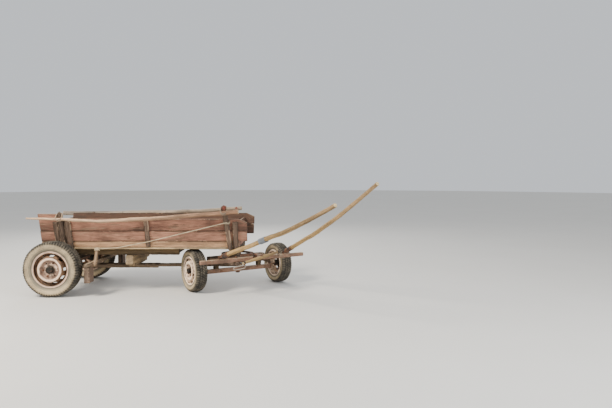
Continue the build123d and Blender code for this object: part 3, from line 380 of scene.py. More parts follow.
# Wear of a sawn, worn or hewn timber: rounding of its edges, depth of its dents and chips
Look = namedtuple("Look", "rounding dent chip")
SAWN = Look(0.0035, 0.0012, 0.0045)
WORN = Look(0.006, 0.0018, 0.0060)
HEWN = Look(0.009, 0.0026, 0.0080)
CORNER_POINTS = 4
MOST_ROUND = 0.42             # the rounding's largest share of a width or thickness
SKIN_STEP = 0.022             # distance between points across a timber's faces
EDGE_FADE = 0.005             # distance over which an edge's mark fades
DENT_REACH, CHIP_REACH = 0.11, 0.05
CHIP_LEVEL = 0.25             # swell above which an edge is chipped
FACE_WEAR = 0.25              # wear of the narrow faces as a share of the wide ones'
DENT_SHORT, CHIP_SHORT = 0.35, 0.6         # the lower, the longer along the grain
GIRTH_SHARE = 1.7             # share of the thickness in the way round a section
GRAIN_APART = 3               # largest shift of a timber's grain each way


def section(across, through):
    """Rounded rectangle: places on its core, from -1 to 1 each way, and outward normals."""
    places, normals = [], []
    for quarter, count in enumerate((through, across, through, across)):
        start = quarter * pi / 2
        normal = np.array([cos(start), sin(start)])
        tangent = np.array([-sin(start), cos(start)])
        for share in np.linspace(-1, 1, count + 2)[1:-1]:
            places.append(normal + tangent * share)
            normals.append(normal)
        for turn in np.linspace(start, start + pi / 2, CORNER_POINTS):
            places.append(normal + tangent)
            normals.append(np.array([cos(turn), sin(turn)]))
    return np.array(places), np.array(normals)


def bar(axes, points, look, seed, shape=None, tint=0.0, breaks=(), load_side=0):
    """Worn timber in the oriented box of a CAD solid: a rounded rectangle carried along an axis.

    A point is the section's core corner plus the rounding times its outward normal, less a smooth
    dent and a chip at the edges. Toward each end the section draws in on a quarter circle. The side
    of the third axis that load_side gives faces the load, and breaks are more stations."""
    settings = bpy.context.scene.cart_timber
    local = points @ axes.T
    low, high = local.min(axis=0), local.max(axis=0)
    span = high - low
    rounding = min(look.rounding, MOST_ROUND * span[1], MOST_ROUND * span[2])
    turn = np.linspace(0, pi / 2, CORNER_POINTS)
    curl, draw = rounding * (1 - np.cos(turn)), rounding * (1 - np.sin(turn))
    count = max(3, int(span[0] / settings.step))
    inner = np.linspace(low[0] + rounding, high[0] - rounding, count + 1)[1:-1]
    inner = np.union1d(inner, breaks)
    along = np.concatenate([low[0] + curl, inner, (high[0] - curl)[::-1]])
    inset = np.concatenate([draw, np.zeros(len(inner)), draw[::-1]])
    places, normals = section(max(2, int(span[1] / SKIN_STEP)), max(1, int(span[2] / SKIN_STEP)))
    core = np.maximum(span[None, 1:] / 2 - inset[:, None] - rounding, 0)
    offset = places[None] * core[:, None] + normals[None] * rounding
    station = np.broadcast_to(along[:, None], offset.shape[:2])
    edge_way = ((1 - np.abs(places))[None] * core[:, None]).sum(axis=-1)
    end_way = np.minimum(station - low[0], high[0] - station)
    edge = np.maximum(np.exp(-edge_way / EDGE_FADE), np.exp(-end_way / EDGE_FADE))
    girth = offset[..., 0] + GIRTH_SHARE * offset[..., 1]
    dent = look.dent * (0.5 + 0.5 * swell(station * DENT_SHORT, girth, seed, DENT_REACH))
    ragged = swell(station * CHIP_SHORT, girth, seed + 1, CHIP_REACH)
    chipped = np.clip(ragged - CHIP_LEVEL, 0, 1)
    wear = (dent + look.chip * edge * chipped) * settings.wear
    wear = wear * (FACE_WEAR + (1 - FACE_WEAR) * np.abs(normals[:, 1]))
    offset = offset - normals[None] * wear[..., None]
    place = np.concatenate([station[..., None], ((low + high) / 2)[1:] + offset], axis=-1)
    if shape is not None:
        place = shape(place, low, high)
    world = np.clip(place @ axes, points.min(axis=0), points.max(axis=0))
    shift = np.random.default_rng(seed).uniform(-GRAIN_APART, GRAIN_APART, 3)
    return sweep(world, grain=place + shift, edge=edge,
                 tint=tint(place) if callable(tint) else tint,
                 board=np.random.default_rng(seed + 5).uniform(0, 1),
                 inside=np.clip(1.5 * load_side * normals[:, 1], 0, 1))


def frames_along(path, reference, loop=False):
    """Two unit vectors square to a path at each point, the first square to the reference too."""
    if loop:
        tangent = np.roll(path, -1, axis=0) - np.roll(path, 1, axis=0)
    else:
        tangent = np.gradient(path, axis=0)
    tangent = unit(tangent)
    beside = unit(np.cross(tangent, reference))
    return beside, np.cross(beside, tangent)


def rings_about(path, girth, turn, reference, loop=False):
    """Rings square to a path: each of its points plus the girth at each turn about it."""
    beside, above = (way[:, None] for way in frames_along(path, reference, loop))
    spoke = np.cos(turn)[..., None] * beside + np.sin(turn)[..., None] * above
    return path[:, None] + np.asarray(girth)[..., None] * spoke


def resample(stations, step, smooth=0.0):
    """Points every step along straight runs between stations, rounded by a running mean, and
    their lengths."""
    stations = np.asarray(stations, float)
    runs = np.linalg.norm(np.diff(stations[:, :3], axis=0), axis=1)
    run = np.concatenate([[0], np.cumsum(runs)])
    length = np.linspace(0, run[-1], max(4, int(run[-1] / step) + 1))
    values = np.stack([np.interp(length, run, column) for column in stations.T], axis=1)
    half = int(smooth / (length[1] - length[0]) / 2)
    if half > 0:
        padded = np.concatenate([2 * values[0] - values[half:0:-1], values,
                                 2 * values[-1] - values[-2:-half - 2:-1]])
        kernel = np.ones(2 * half + 1) / (2 * half + 1)
        values = np.stack([np.convolve(column, kernel, mode="valid") for column in padded.T],
                          axis=1)
    return values, length


POLE_SIDES = 20
POLE_STEP = 0.018
POLE_END = 0.004              # length over which a pole's ends draw in
KNOT_HIGH, KNOT_LONG, KNOT_WIDE = 0.0034, 0.018, 0.55
KNOT_PLACES, KNOT_SIZES = (0.06, 0.94), (0.5, 1.0)   # ranges, as shares of length and height
SWAY_REACH = (0.7, 0.6)       # reach of the sway sideways and upward
SLOW_REACH, FINE_REACH, FINE_SHARE = 0.22, 0.06, 0.4
END_FADE = 0.03               # bumps fade out over this length at the ends
END_TINT = 0.002              # depth of the tint at a sawn end


def grown_pole(stations, seed, knots, rough=0.0014, sway=0.003):
    """Grown pole through stations of place and radius: circles square to a swaying path.

    Radius = station radius, plus slow swell, plus a bump at each knot that fades along and round
    the pole. The last few millimetres at each end draw in on a quarter circle."""
    values, length = resample(stations, POLE_STEP, POLE_SMOOTH)
    path, radius = values[:, :3], values[:, 3]
    total = length[-1]
    rng = np.random.default_rng(seed)
    hold = np.sin(pi * length / total) ** 0.5
    for number, (way, reach) in enumerate(zip(frames_along(path, UP), SWAY_REACH)):
        shift = sway * hold * swell(length, 0 * length, seed + number, reach)
        path = path + way * shift[:, None]
    near = np.minimum(length, total - length)
    ends = np.array([0.0, 0.3 * POLE_END, POLE_END])
    places = np.union1d(length[near > POLE_END], np.concatenate([ends, total - ends[::-1]]))
    path = np.stack([np.interp(places, length, column) for column in path.T], axis=1)
    radius = np.interp(places, length, radius)
    near = np.minimum(places, total - places)
    short = np.maximum(POLE_END - near, 0)
    radius = radius - POLE_END + np.sqrt(np.maximum(POLE_END ** 2 - short ** 2, 0))
    turn = full_turn(POLE_SIDES)[None]
    length, near, still = places[:, None], near[:, None], 0 * turn
    bump = np.zeros((len(places), POLE_SIDES))
    for place, angle, size in zip(rng.uniform(*KNOT_PLACES, knots) * total,
                                  rng.uniform(0, 2 * pi, knots), rng.uniform(*KNOT_SIZES, knots)):
        away = np.abs((turn - angle + pi) % (2 * pi) - pi)
        bump += size * np.exp(-((length - place) / KNOT_LONG) ** 2 - (away / KNOT_WIDE) ** 2)
    slow = swell(length + still, np.cos(turn) * 0.05 + 0 * length, seed + 2, SLOW_REACH)
    fine = swell(length * 0.7 + still, np.sin(turn) * 0.03 + 0 * length, seed + 3, FINE_REACH)
    fade = np.clip(near / END_FADE, 0, 1)
    girth = radius[:, None] + fade * (rough * (slow + FINE_SHARE * fine - 1) + KNOT_HIGH * bump)
    grain = np.stack([length + still, girth * np.cos(turn), girth * np.sin(turn)], axis=-1)
    grain = grain + rng.uniform(-GRAIN_APART, GRAIN_APART, 3)
    return sweep(rings_about(path, girth, turn, UP), grain=grain, edge=np.clip(bump, 0, 1),
                 tint=np.exp(-near / END_TINT), board=length / total)


def turned(profile, centre, axis, sides):
    """Closed turned shape: centre, plus height along the axis, plus radius at the turn about it."""
    axis = np.asarray(axis, float)
    first = unit(np.cross(UP if abs(axis @ UP) < 0.9 else FORWARD, axis))
    second = np.cross(axis, first)
    radius, height = np.array(profile, float).T[..., None]
    turn = full_turn(sides)[:, None]
    spoke = np.cos(turn) * first + np.sin(turn) * second
    rings = np.asarray(centre) + height[..., None] * axis + radius[..., None] * spoke[None]
    return sweep(rings, edge=radius / radius.max() > 0.9)


def laid_rope(path, radius, reference, seed=0, tint=0.0):
    """Three-strand rope on a path: radius = rope radius x (1 + bulge x cos(3 x (turn - twist))),
    where the twist grows with the length."""
    settings = bpy.context.scene.cart_rope
    steps = np.linalg.norm(np.diff(path, axis=0), axis=1)
    length = np.concatenate([[0], np.cumsum(steps)])[:, None]
    turn = full_turn(12)[None]
    twist = 2 * pi * length / settings.lay
    wave = np.cos(3 * (turn - twist))
    girth = radius * (1 - settings.lobe * 0.5 + 0.5 * settings.lobe * wave)
    grain = np.stack([length + 0 * turn, turn * radius + 0 * twist, 0 * wave], axis=-1)
    return sweep(rings_about(path, girth, turn, reference), grain=grain + seed,
                 edge=0.5 + 0.5 * wave, tint=tint)


def wire_loop(path, radius, reference):
    """Round bar bent into a closed loop: circles square to its path."""
    return sweep(rings_about(path, radius, full_turn(12)[None], reference, loop=True), loop=True)


# Materials
FLOAT, VECTOR, COLOUR = "NodeSocketFloat", "NodeSocketVector", "NodeSocketColor"
FIGURE = (0.36, 0.64)         # range of the grain's figure between its two tones
PIT_RANGE = (0.3, 0.7)
PAINT_COVER = 0.68            # share of a painted plank that keeps its paint
INSIDE_SHADE_AND_WEAR = (66, 49, 39)      # display colour of the planks' inner faces: painted shade of the box's inside, over dirty bare wood
EDGE_BARE = (196, 166, 134)
STAIN = (0.045, 0.032, 0.024, 1.0)
# dark of timber edges and joints: dirt and painted shade
EDGE_DIRT_AND_SHADE = (0.040, 0.028, 0.020, 1.0)
CRACK = (0.018, 0.012, 0.009, 1.0)
GREASE = (0.020, 0.016, 0.013, 1.0)
# painted shade of the tyre grooves
GROOVE_SHADE = (0.018, 0.016, 0.013, 1.0)
OLD_IRON = (0.05, 0.045, 0.042)
GREASY_IRON = (0.035, 0.03, 0.026)


class Graph:
    """Builds one shader tree. A value is a socket or a number, and colour is the coat so far."""

    def __init__(self, tree):
        """Starts on a node tree."""
        self.tree = tree
        self.colour = None

    def feed(self, socket, value):
        """Links a socket to an input, or sets it to a number or colour."""
        if isinstance(value, bpy.types.NodeSocket):
            self.tree.links.new(value, socket)
        else:
            socket.default_value = value

    def add(self, kind, inputs=None, **settings):
        """One node with its settings and inputs."""
        made = self.tree.nodes.new(kind)
        for key, value in settings.items():
            setattr(made, key, value)
        for key, value in (inputs or {}).items():
            self.feed(made.inputs[key], value)
        return made

    def maths(self, operation, first, second=0.0, clamp=False):
        """Result of one arithmetic step."""
        return self.add("ShaderNodeMath", {0: first, 1: second}, operation=operation,
                        use_clamp=clamp).outputs[0]

    def times(self, first, second, clamp=False):
        """Product of two values."""
        return self.maths("MULTIPLY", first, second, clamp)

    def plus(self, first, second, clamp=False):
        """Sum of two values."""
        return self.maths("ADD", first, second, clamp)

    def minus(self, first, second, clamp=False):
        """Difference of two values."""
        return self.maths("SUBTRACT", first, second, clamp)

    def vectors(self, operation, first, second=(0.0, 0.0, 0.0), output="Vector"):
        """Result of one vector step."""
        return self.add("ShaderNodeVectorMath", {0: first, 1: second},
                        operation=operation).outputs[output]

    def limits(self, value, start, end, low=0.0, high=1.0):
        """Value carried smoothly from one range to another and held at its ends."""
        inputs = {"Value": value, "From Min": start, "From Max": end, "To Min": low, "To Max": high}
        return self.add("ShaderNodeMapRange", inputs,
                        interpolation_type="SMOOTHSTEP").outputs["Result"]

    def layer(self, mask, under, over, way="MIX"):
        """Colour over another where the mask is high."""
        return self.add("ShaderNodeMix", {0: mask, 6: under, 7: over}, data_type="RGBA",
                        blend_type=way).outputs[2]

    def coat(self, mask, over, strength=None, way="MIX"):
        """Lays a colour on the coat so far where the mask, times a strength, is high."""
        if strength is not None:
            mask = self.times(mask, strength)
        self.colour = self.layer(mask, self.colour, over, way)

    def grey(self, value):
        """Grey of a value."""
        channels = dict.fromkeys(("Red", "Green", "Blue"), value)
        return self.add("ShaderNodeCombineColor", channels).outputs["Color"]

    def noise(self, vector, scale, detail=4.0, rough=0.55, stretch=None):
        """Soft noise value, of a vector that may first be stretched along each axis."""
        if stretch is not None:
            vector = self.add("ShaderNodeMapping", {"Vector": vector, "Scale": stretch}).outputs[0]
        return self.add("ShaderNodeTexNoise", {"Vector": vector, "Scale": scale, "Detail": detail,
                                               "Roughness": rough}).outputs["Fac"]

    def place(self):
        """Object coordinates."""
        return self.add("ShaderNodeTexCoord").outputs["Object"]

    def split(self, vector, axis="Z"):
        """One part of a vector."""
        return self.add("ShaderNodeSeparateXYZ", {"Vector": vector}).outputs[axis]

    def mark(self, name, output="Fac"):
        """A mark that the mesh carries."""
        return self.add("ShaderNodeAttribute", attribute_name=name,
                        attribute_type="GEOMETRY").outputs[output]

    def group(self, name, **inputs):
        """Outputs of one of the shared shader groups, made when it is first used."""
        if name not in GROUPS:
            GROUPS[name] = GROUP_MAKERS[name]()
        return self.add("ShaderNodeGroup", inputs, node_tree=GROUPS[name]).outputs

    def finish(self, height=None, distance=0.0, strength=0.0, **values):
        """Gives the shader the coat, the height through a Bump node, and other values by socket."""
        values["Base_Color"] = self.colour
        if height is not None:
            values["Normal"] = self.add("ShaderNodeBump", {"Height": height, "Distance": distance,
                                                           "Strength": strength}).outputs["Normal"]
        for key, value in values.items():
            self.feed(self.tree.nodes["Principled BSDF"].inputs[key.replace("_", " ")], value)


def solid(colour, scale=1.0):
    """Colour as four values, lighter or darker by a scale."""
    return tuple(min(1.0, c * scale) for c in colour) + (1.0,)


def start_group(name, inputs):
    """New shader group with its named inputs: its graph and what comes in."""
    tree = bpy.data.node_groups.new(name, "ShaderNodeTree")
    for label, kind, value in inputs:
        socket = tree.interface.new_socket(label, in_out="INPUT", socket_type=kind)
        if value is not None:
            socket.default_value = value
    return Graph(tree), tree.nodes.new("NodeGroupInput").outputs


def close_group(graph, **outputs):
    """Gives a shader group its outputs, a colour where the name is Color and else values."""
    for label in outputs:
        kind = COLOUR if label == "Color" else FLOAT
        graph.tree.interface.new_socket(label, in_out="OUTPUT", socket_type=kind)
    result = graph.tree.nodes.new("NodeGroupOutput")
    for label, value in outputs.items():
        graph.tree.links.new(value, result.inputs[label])
    return graph.tree


def grain_group():
    """Weathered grain: long fibres, wide figure, drying cracks and stains, from a vector along the
    wood."""
    graph, given = start_group("Weathered grain", [("Vector", VECTOR, None),
                                                   ("Fineness", FLOAT, 1.0)])
    vector = graph.add("ShaderNodeVectorMath", {0: given["Vector"], "Scale": given["Fineness"]},
                       operation="SCALE").outputs["Vector"]
    warp = graph.noise(vector, 1.0, 2.0, stretch=(1.5, 6.0, 6.0))
    sway = graph.add("ShaderNodeCombineXYZ", {"Y": graph.times(warp, 0.05),
                                              "Z": graph.times(warp, 0.03)}).outputs["Vector"]
    bent = graph.vectors("ADD", vector, sway)
    fibre = graph.noise(bent, 1.0, 5.0, 0.62, (7.0, 260.0, 260.0))
    figure = graph.noise(bent, 1.0, 3.0, 0.5, (1.1, 34.0, 34.0))
    crack = graph.noise(bent, 1.0, 2.0, 0.4, (2.6, 95.0, 95.0))
    crack = graph.limits(graph.maths("ABSOLUTE", graph.minus(crack, 0.5)), 0.0, 0.018, 1.0, 0.0)
    where = graph.limits(graph.noise(vector, 1.0, 2.0, stretch=(1.7, 9.0, 9.0)), 0.52, 0.62)
    stain = graph.noise(vector, 1.0, 5.0, 0.6, (2.2, 5.0, 5.0))
    return close_group(graph, Fibre=fibre, Figure=figure, Cracks=graph.times(crack, where),
                       Stain=stain)


def wear_group():
    """Edges: where noise lets the wood shine through, and the dirt and painted shade that darken the rest."""
    graph, given = start_group("Edge wear", [("Edge", FLOAT, 0.0), ("Vector", VECTOR, None),
                                             ("Amount", FLOAT, 0.5)])
    rough = graph.noise(given["Vector"], 38.0, 5.0, 0.65)
    slow = graph.noise(given["Vector"], 6.0, 2.0, 0.5)
    mixed = graph.plus(graph.times(rough, 0.4), graph.times(slow, 0.6))
    level = graph.minus(0.66, graph.times(given["Amount"], 0.2))
    bare = graph.times(graph.minus(mixed, level), 12.0, clamp=True)
    mask = graph.times(bare, graph.limits(given["Edge"], 0.55, 0.95))
    # the dark share is dirt and painted shade along edges and joints
    dirt = graph.times(graph.minus(1.0, bare), graph.limits(given["Edge"], 0.35, 0.9))
    return close_group(graph, Mask=mask, Dirt=dirt)


def dust_group():
    """Field dust: more on faces that look up and in patches."""
    graph, given = start_group("Field dust", [("Vector", VECTOR, None), ("Amount", FLOAT, 0.4)])
    facing = graph.split(graph.add("ShaderNodeNewGeometry").outputs["Normal"])
    patches = graph.noise(given["Vector"], 9.0, 6.0, 0.68)
    level = graph.minus(0.92, graph.times(given["Amount"], 0.7))
    mask = graph.times(graph.minus(graph.plus(graph.times(facing, 0.28), patches), level), 2.6,
                       clamp=True)
    return close_group(graph, Mask=mask)


def rust_group():
    """Rust: blotches of two browns and the fine pitting between them."""
    graph, given = start_group("Rust bloom", [("Vector", VECTOR, None), ("Rust", COLOUR, None),
                                              ("Amount", FLOAT, 0.5)])
    broad = graph.noise(given["Vector"], 14.0, 6.0, 0.7)
    fine = graph.noise(given["Vector"], 120.0, 4.0, 0.7)
    dark = graph.layer(0.62, given["Rust"], (0.012, 0.008, 0.006, 1.0))
    light = graph.layer(0.35, given["Rust"], (0.55, 0.26, 0.12, 1.0))
    colour = graph.layer(graph.limits(fine, 0.38, 0.66), dark, light)
    level = graph.minus(0.78, graph.times(given["Amount"], 0.5))
    mask = graph.times(graph.minus(broad, level), 7.0, clamp=True)
    return close_group(graph, Color=colour, Mask=mask, Pits=fine)


GROUP_MAKERS = {"grain": grain_group, "wear": wear_group, "dust": dust_group, "rust": rust_group}
GROUPS = {}


def start_material(name):
    """New material and the graph of its tree."""
    material = bpy.data.materials.new(name)
    material.use_nodes = True
    return material, Graph(material.node_tree)


def timber_finish(name, light, dark, second, dust, wear, fineness=1.0, paint=None, fore=None):
    """Weathered timber: figure and fibre between two tones, stains, cracks, worn edges and dust.
    The second tone shows where the tint mark is 1, paint lies over the first tone in long flaked
    patches, a face toward the load is dark with painted shade over its bare dirty wood, and a pole
    turns to the fore tone along its length."""
    material, graph = start_material(name)
    vector = graph.mark("grain", "Vector")
    tint, board = graph.mark("tint"), graph.mark("board")
    grain = graph.group("grain", Vector=vector, Fineness=fineness)
    figure = graph.limits(grain["Figure"], *FIGURE)
    graph.colour = graph.layer(figure, solid(dark), solid(light))
    graph.coat(tint, graph.layer(figure, solid(second, 0.74), solid(second, 1.1)))
    if paint is not None:
        flaked = graph.noise(vector, 1.0, 6.0, 0.7, (3.2, 24.0, 24.0))
        level = 0.60 - 0.30 * PAINT_COVER
        cover = graph.times(graph.limits(flaked, level, level + 0.06),
                            graph.minus(1.0, tint, clamp=True))
        tones = [solid(tone) for tone in paint]
        graph.coat(cover, graph.layer(graph.limits(grain["Stain"], 0.35, 0.68), *tones), 0.9)
        # Painted shade: faces toward the load turn dark to stand for the shade inside the box, over their dirty
        # bare wood.
        graph.coat(graph.mark("inside"), solid(display(*INSIDE_SHADE_AND_WEAR)), 0.9)
    if fore is not None:
        share = graph.times(graph.limits(board, 0.15, 0.95), graph.minus(1.0, tint))
        graph.coat(share, graph.layer(figure, solid(fore, 0.66), solid(fore, 1.08)))
    graph.coat(0.85, graph.grey(graph.limits(grain["Fibre"], 0.34, 0.66, 0.52, 1.28)),
               way="MULTIPLY")
    lift = graph.limits(board, 0.0, 1.0, 0.84, 1.12 if fore is None else 0.90)
    graph.coat(1.0, graph.grey(lift), way="MULTIPLY")
    graph.coat(graph.limits(grain["Stain"], 0.30, 0.52, 0.55, 0.0), STAIN)
    worn = graph.group("wear", Edge=graph.mark("edge"), Vector=vector, Amount=wear)
    # Dirt and painted shade darken the edges and the joints between timbers.
    graph.coat(worn["Dirt"], EDGE_DIRT_AND_SHADE, 0.6)
    graph.coat(worn["Mask"], solid(display(*EDGE_BARE)), 0.45)
    dusty = graph.group("dust", Vector=vector, Amount=dust)["Mask"]
    graph.coat(dusty, solid(bpy.context.scene.cart_colours.dust), 0.55)
    graph.coat(grain["Cracks"], CRACK, 0.8)
    height = graph.minus(grain["Fibre"], graph.times(grain["Cracks"], 1.6))
    graph.finish(height, 0.0025, 0.7, Roughness=graph.limits(grain["Fibre"], 0.3, 0.7, 0.74, 0.94),
                 Specular_IOR_Level=0.25)
    return material


def rust_and_dust(graph, vector, rust_amount, dust_amount, strength, dust_scale=1.0):
    """Lays rust and then dust on the coat, and gives the rust's outputs."""
    colours = bpy.context.scene.cart_colours
    rust = graph.group("rust", Vector=vector, Rust=solid(colours.rust), Amount=rust_amount)
    graph.coat(rust["Mask"], rust["Color"])
    dusty = graph.group("dust", Vector=vector, Amount=dust_amount)["Mask"]
    graph.coat(dusty, solid(colours.dust, dust_scale), strength)
    return rust


def iron_finish(name, rust_amount=0.75, base=OLD_IRON, metallic=0.55):
    """Old iron: dark metal under rust bloom and a little dust, with pitted relief."""
    material, graph = start_material(name)
    graph.colour = solid(base)
    rust = rust_and_dust(graph, graph.place(), rust_amount, 0.3, 0.4, 0.8)
    graph.finish(rust["Pits"], 0.0012, 0.5,
                 Metallic=graph.times(graph.minus(1.0, rust["Mask"]), metallic),
                 Roughness=graph.limits(rust["Pits"], *PIT_RANGE, 0.5, 0.95))
    return material


def painted_steel_finish(name, paint):
    """Faded paint on steel: two tones, scratches to rust, dust on top."""
    material, graph = start_material(name)
    vector = graph.place()
    tone = graph.limits(graph.noise(vector, 7.0, 5.0, 0.6), 0.36, 0.66)
    graph.colour = graph.layer(tone, solid(paint, 0.55), solid(paint, 1.15))
    rust = rust_and_dust(graph, vector, 0.55, 0.5, 0.6)
    graph.finish(graph.plus(rust["Pits"], rust["Mask"]), 0.0012, 0.4,
                 Roughness=graph.limits(rust["Pits"], *PIT_RANGE, 0.55, 0.9))
    return material


def rim_finish(name, hub, axis, fit):
    """Wheel paint: cream on the raised ring and the flange, dark brown in the well and slots,
    grease at the hub, all by the distance from the axle, with rust and dust over it."""
    material, graph = start_material(name)
    vector = graph.vectors("SUBTRACT", graph.place(), tuple(hub))
    depth = graph.vectors("DOT_PRODUCT", vector, tuple(axis), "Value")
    size = graph.vectors("LENGTH", vector, output="Value")
    radius = graph.maths("SQRT", graph.minus(graph.times(size, size), graph.times(depth, depth)))
    blotch = graph.noise(vector, 16.0, 6.0, 0.7)
    wander = graph.plus(radius, graph.times(graph.minus(blotch, 0.5), 0.030))
    ridge = fit.ridge_radius
    off_ring = graph.maths("ABSOLUTE", graph.minus(wander, ridge - 0.001))
    ring = graph.limits(off_ring, 0.009, 0.015, 1.0, 0.0)
    flange = graph.limits(radius, fit.bead_radius - 0.004, fit.bead_radius + 0.008)
    centre = graph.times(graph.limits(wander, ridge - 0.050, ridge - 0.038, 1.0, 0.0),
                         graph.limits(blotch, 0.44, 0.58))
    bowl = graph.limits(radius, ridge - 0.016, ridge + 0.012)
    mottle = graph.limits(blotch, 0.35, 0.66)
    inner = graph.layer(mottle, solid(display(118, 92, 78)), solid(display(170, 138, 116)))
    outer = graph.layer(mottle, solid(display(66, 46, 34)), solid(display(128, 96, 70)))
    paint, bright = bpy.context.scene.cart_colours.rim, 0.3 * fit.washed
    cream = graph.layer(graph.limits(blotch, 0.30, 0.60), solid(paint, 0.84 + bright),
                        solid(paint, 1.30 + bright))
    clean = graph.plus(ring, graph.times(flange, 0.7), clamp=True)
    clean = graph.plus(clean, graph.times(centre, 0.75), clamp=True)
    washed = graph.times(graph.limits(blotch, 0.38, 0.54), fit.washed)
    graph.colour = graph.layer(bowl, inner, outer)
    graph.coat(graph.plus(clean, washed, clamp=True), cream)
    grease = graph.limits(wander, fit.hub_radius + 0.008, fit.hub_radius + 0.022, 1.0, 0.0)
    graph.coat(grease, GREASE, 0.8)
    rust = rust_and_dust(graph, vector, 0.34, 0.35, 0.3)
    graph.finish(graph.plus(rust["Mask"], blotch), 0.001, 0.35,
                 Roughness=graph.limits(rust["Pits"], *PIT_RANGE, 0.5, 0.85))
    return material


def rubber_finish(name):
    """Sun-bleached rubber: painted shade in the grooves, dark on the tread, dust on the sidewall in
    rings that follow the board mark from bead to crown, a darker band by the rim, dried mud low
    down, and fine checking."""
    colours = bpy.context.scene.cart_colours
    material, graph = start_material(name)
    vector = graph.place()
    wall, share = graph.mark("tint"), graph.mark("board")
    low = graph.limits(graph.split(vector), GROUND + 0.02, GROUND + 0.24, 1.0, 0.0)
    blotch = graph.noise(vector, 11.0, 7.0, 0.7)
    fine = graph.noise(vector, 90.0, 4.0, 0.7)
    rings = graph.maths("SINE", graph.times(share, 46.0))
    mud = graph.times(wall, 0.40)
    for part in (graph.times(graph.limits(blotch, 0.36, 0.68),
                             graph.limits(wall, 0.0, 1.0, 0.12, 0.34)),
                 graph.times(graph.times(low, wall), 0.30),
                 graph.times(graph.times(rings, wall), 0.10)):
        mud = graph.plus(mud, part, clamp=True)
    graph.colour = graph.layer(graph.limits(blotch, 0.3, 0.7), solid(colours.rubber, 0.45),
                               solid(colours.rubber, 1.05))
    graph.coat(mud, solid(colours.dust, 0.92))
    band = graph.times(graph.limits(share, 0.24, 0.50, 1.0, 0.0), wall)
    graph.coat(band, solid(display(96, 96, 90)), 0.68)
    # Painted shade: the grooves, given by the edge mark, turn dark.
    graph.coat(graph.mark("edge"), GROOVE_SHADE, 0.80)
    graph.coat(graph.limits(fine, 0.56, 0.68, 0.0, 0.45), solid(colours.rubber, 0.5))
    graph.finish(graph.plus(fine, blotch), 0.0012, 0.5, Roughness=0.92, Specular_IOR_Level=0.2)
    return material


def rope_finish(name, colour, dark=0.45):
    """Laid rope: pale strands with dark valleys between them and loose fibre. It is dull brown
    where the tint mark is 1."""
    material, graph = start_material(name)
    vector, strand = graph.mark("grain", "Vector"), graph.mark("edge")
    fibre = graph.noise(vector, 1.0, 4.0, 0.7, (60.0, 900.0, 1.0))
    dirt = graph.noise(vector, 14.0, 4.0, 0.6)
    graph.colour = graph.layer(graph.limits(strand, 0.05, 0.7), solid(colour, dark), solid(colour))
    graph.coat(graph.limits(fibre, 0.35, 0.7, 0.35, 0.0), solid(colour, 0.4))
    graph.coat(graph.limits(dirt, 0.45, 0.7, 0.0, 0.5), solid(display(120, 100, 76)))
    graph.coat(graph.mark("tint"), solid(display(112, 98, 86)))
    graph.finish(graph.plus(strand, fibre), 0.001, 0.8, Roughness=0.95, Specular_IOR_Level=0.15)
    return material


# Timbers: slot, name, main colour and the scale of its dark tone, second tone, dust, wear,
# fineness of the grain, fore tone
Wood = namedtuple("Wood", "slot name colour dark second dust wear fineness fore",
                  defaults=(1.0, None))
WOODS = [
    Wood("worn_timber", "worn brown timber", "stake", 0.6, (158, 84, 70), 0.32, 0.6),
    # Under timber: its dark main tone is painted shade under the floor, and its pale second tone is painted light
    # where the tint mark is 1, as on the ledges.
    Wood("olive_timber", "olive under timber", "olive", 0.5, (214, 184, 142), 0.25, 0.4),
    Wood("pale_timber", "dry grey timber", "pale", 0.58, (200, 166, 132), 0.35, 0.6),
    Wood("peeled_pole", "peeled pole", "peeled", 0.62, (236, 214, 176), 0.15, 0.2, 0.8,
         display(164, 126, 98)),
    Wood("grey_pole", "silvered pole", "silver", 0.5, (214, 186, 140), 0.2, 0.2, 0.8,
         display(186, 166, 142)),
    Wood("shaft_wood", "golden shaft wood", "shaft", 0.6, (232, 206, 156), 0.2, 0.3, 0.8,
         display(166, 136, 98)),
]
FINISHES = {}


def make_finishes():
    """Every finish of the cart, most of them by the name of their material slot."""
    colours = bpy.context.scene.cart_colours
    FINISHES["painted_planks"] = timber_finish(
        "worn red planks", display(164, 130, 106), display(112, 86, 72), colours.bare, 0.30, 0.55,
        paint=(colours.paint_dark, colours.paint))
    for wood in WOODS:
        tone = getattr(colours, wood.colour)
        FINISHES[wood.slot] = timber_finish(wood.name, tone, solid(tone, wood.dark)[:3],
                                            display(*wood.second), wood.dust, wood.wear,
                                            wood.fineness, fore=wood.fore)
    FINISHES.update(
        rusty_iron=iron_finish("rusty iron"),
        red_steel=painted_steel_finish("faded red steel", colours.steel_paint),
        greasy_hub=iron_finish("greasy iron", 0.4, GREASY_IRON, 0.7),
        dusty_iron=iron_finish("dusty bright iron", 0.3, display(176, 166, 152), 0.2),
        tyre=rubber_finish("tyre rubber"),
        rope=rope_finish("hemp rope", colours.rope),
        withe=rope_finish("twisted withe", display(206, 178, 148), 0.42),
        wrap=rope_finish("blue grey binding", display(138, 146, 156), 0.5))


# Shapes that differ from a plain rectangle. Each takes the places of a timber's points on its own
# axes, and its lowest and highest corner.
NOSE_AT = 1.088               # station where the lower planks' noses begin
NOTCH_AT, NOTCH_DEEP, NOTCH_RAMP = 0.255, 0.035, 0.004
SAND_BOARD_CUT = 0.045
SAND_BOARD_BREAK = 0.355      # station beside the king pin where its corners are cut
END_GRAIN_LONG = 0.004
POINT_LONG, POINT_BLUNT = 0.024, 0.12
CROWN_LONG, CROWN_FADE = 0.055, 0.008


def shift_face(place, low, high, shift, top):
    """Moves the top or the bottom face by a shift, and what lies between in proportion."""
    share = (place[..., 1] - low[1]) / (high[1] - low[1])
    place[..., 1] += shift * (share if top else 1 - share)
    return place


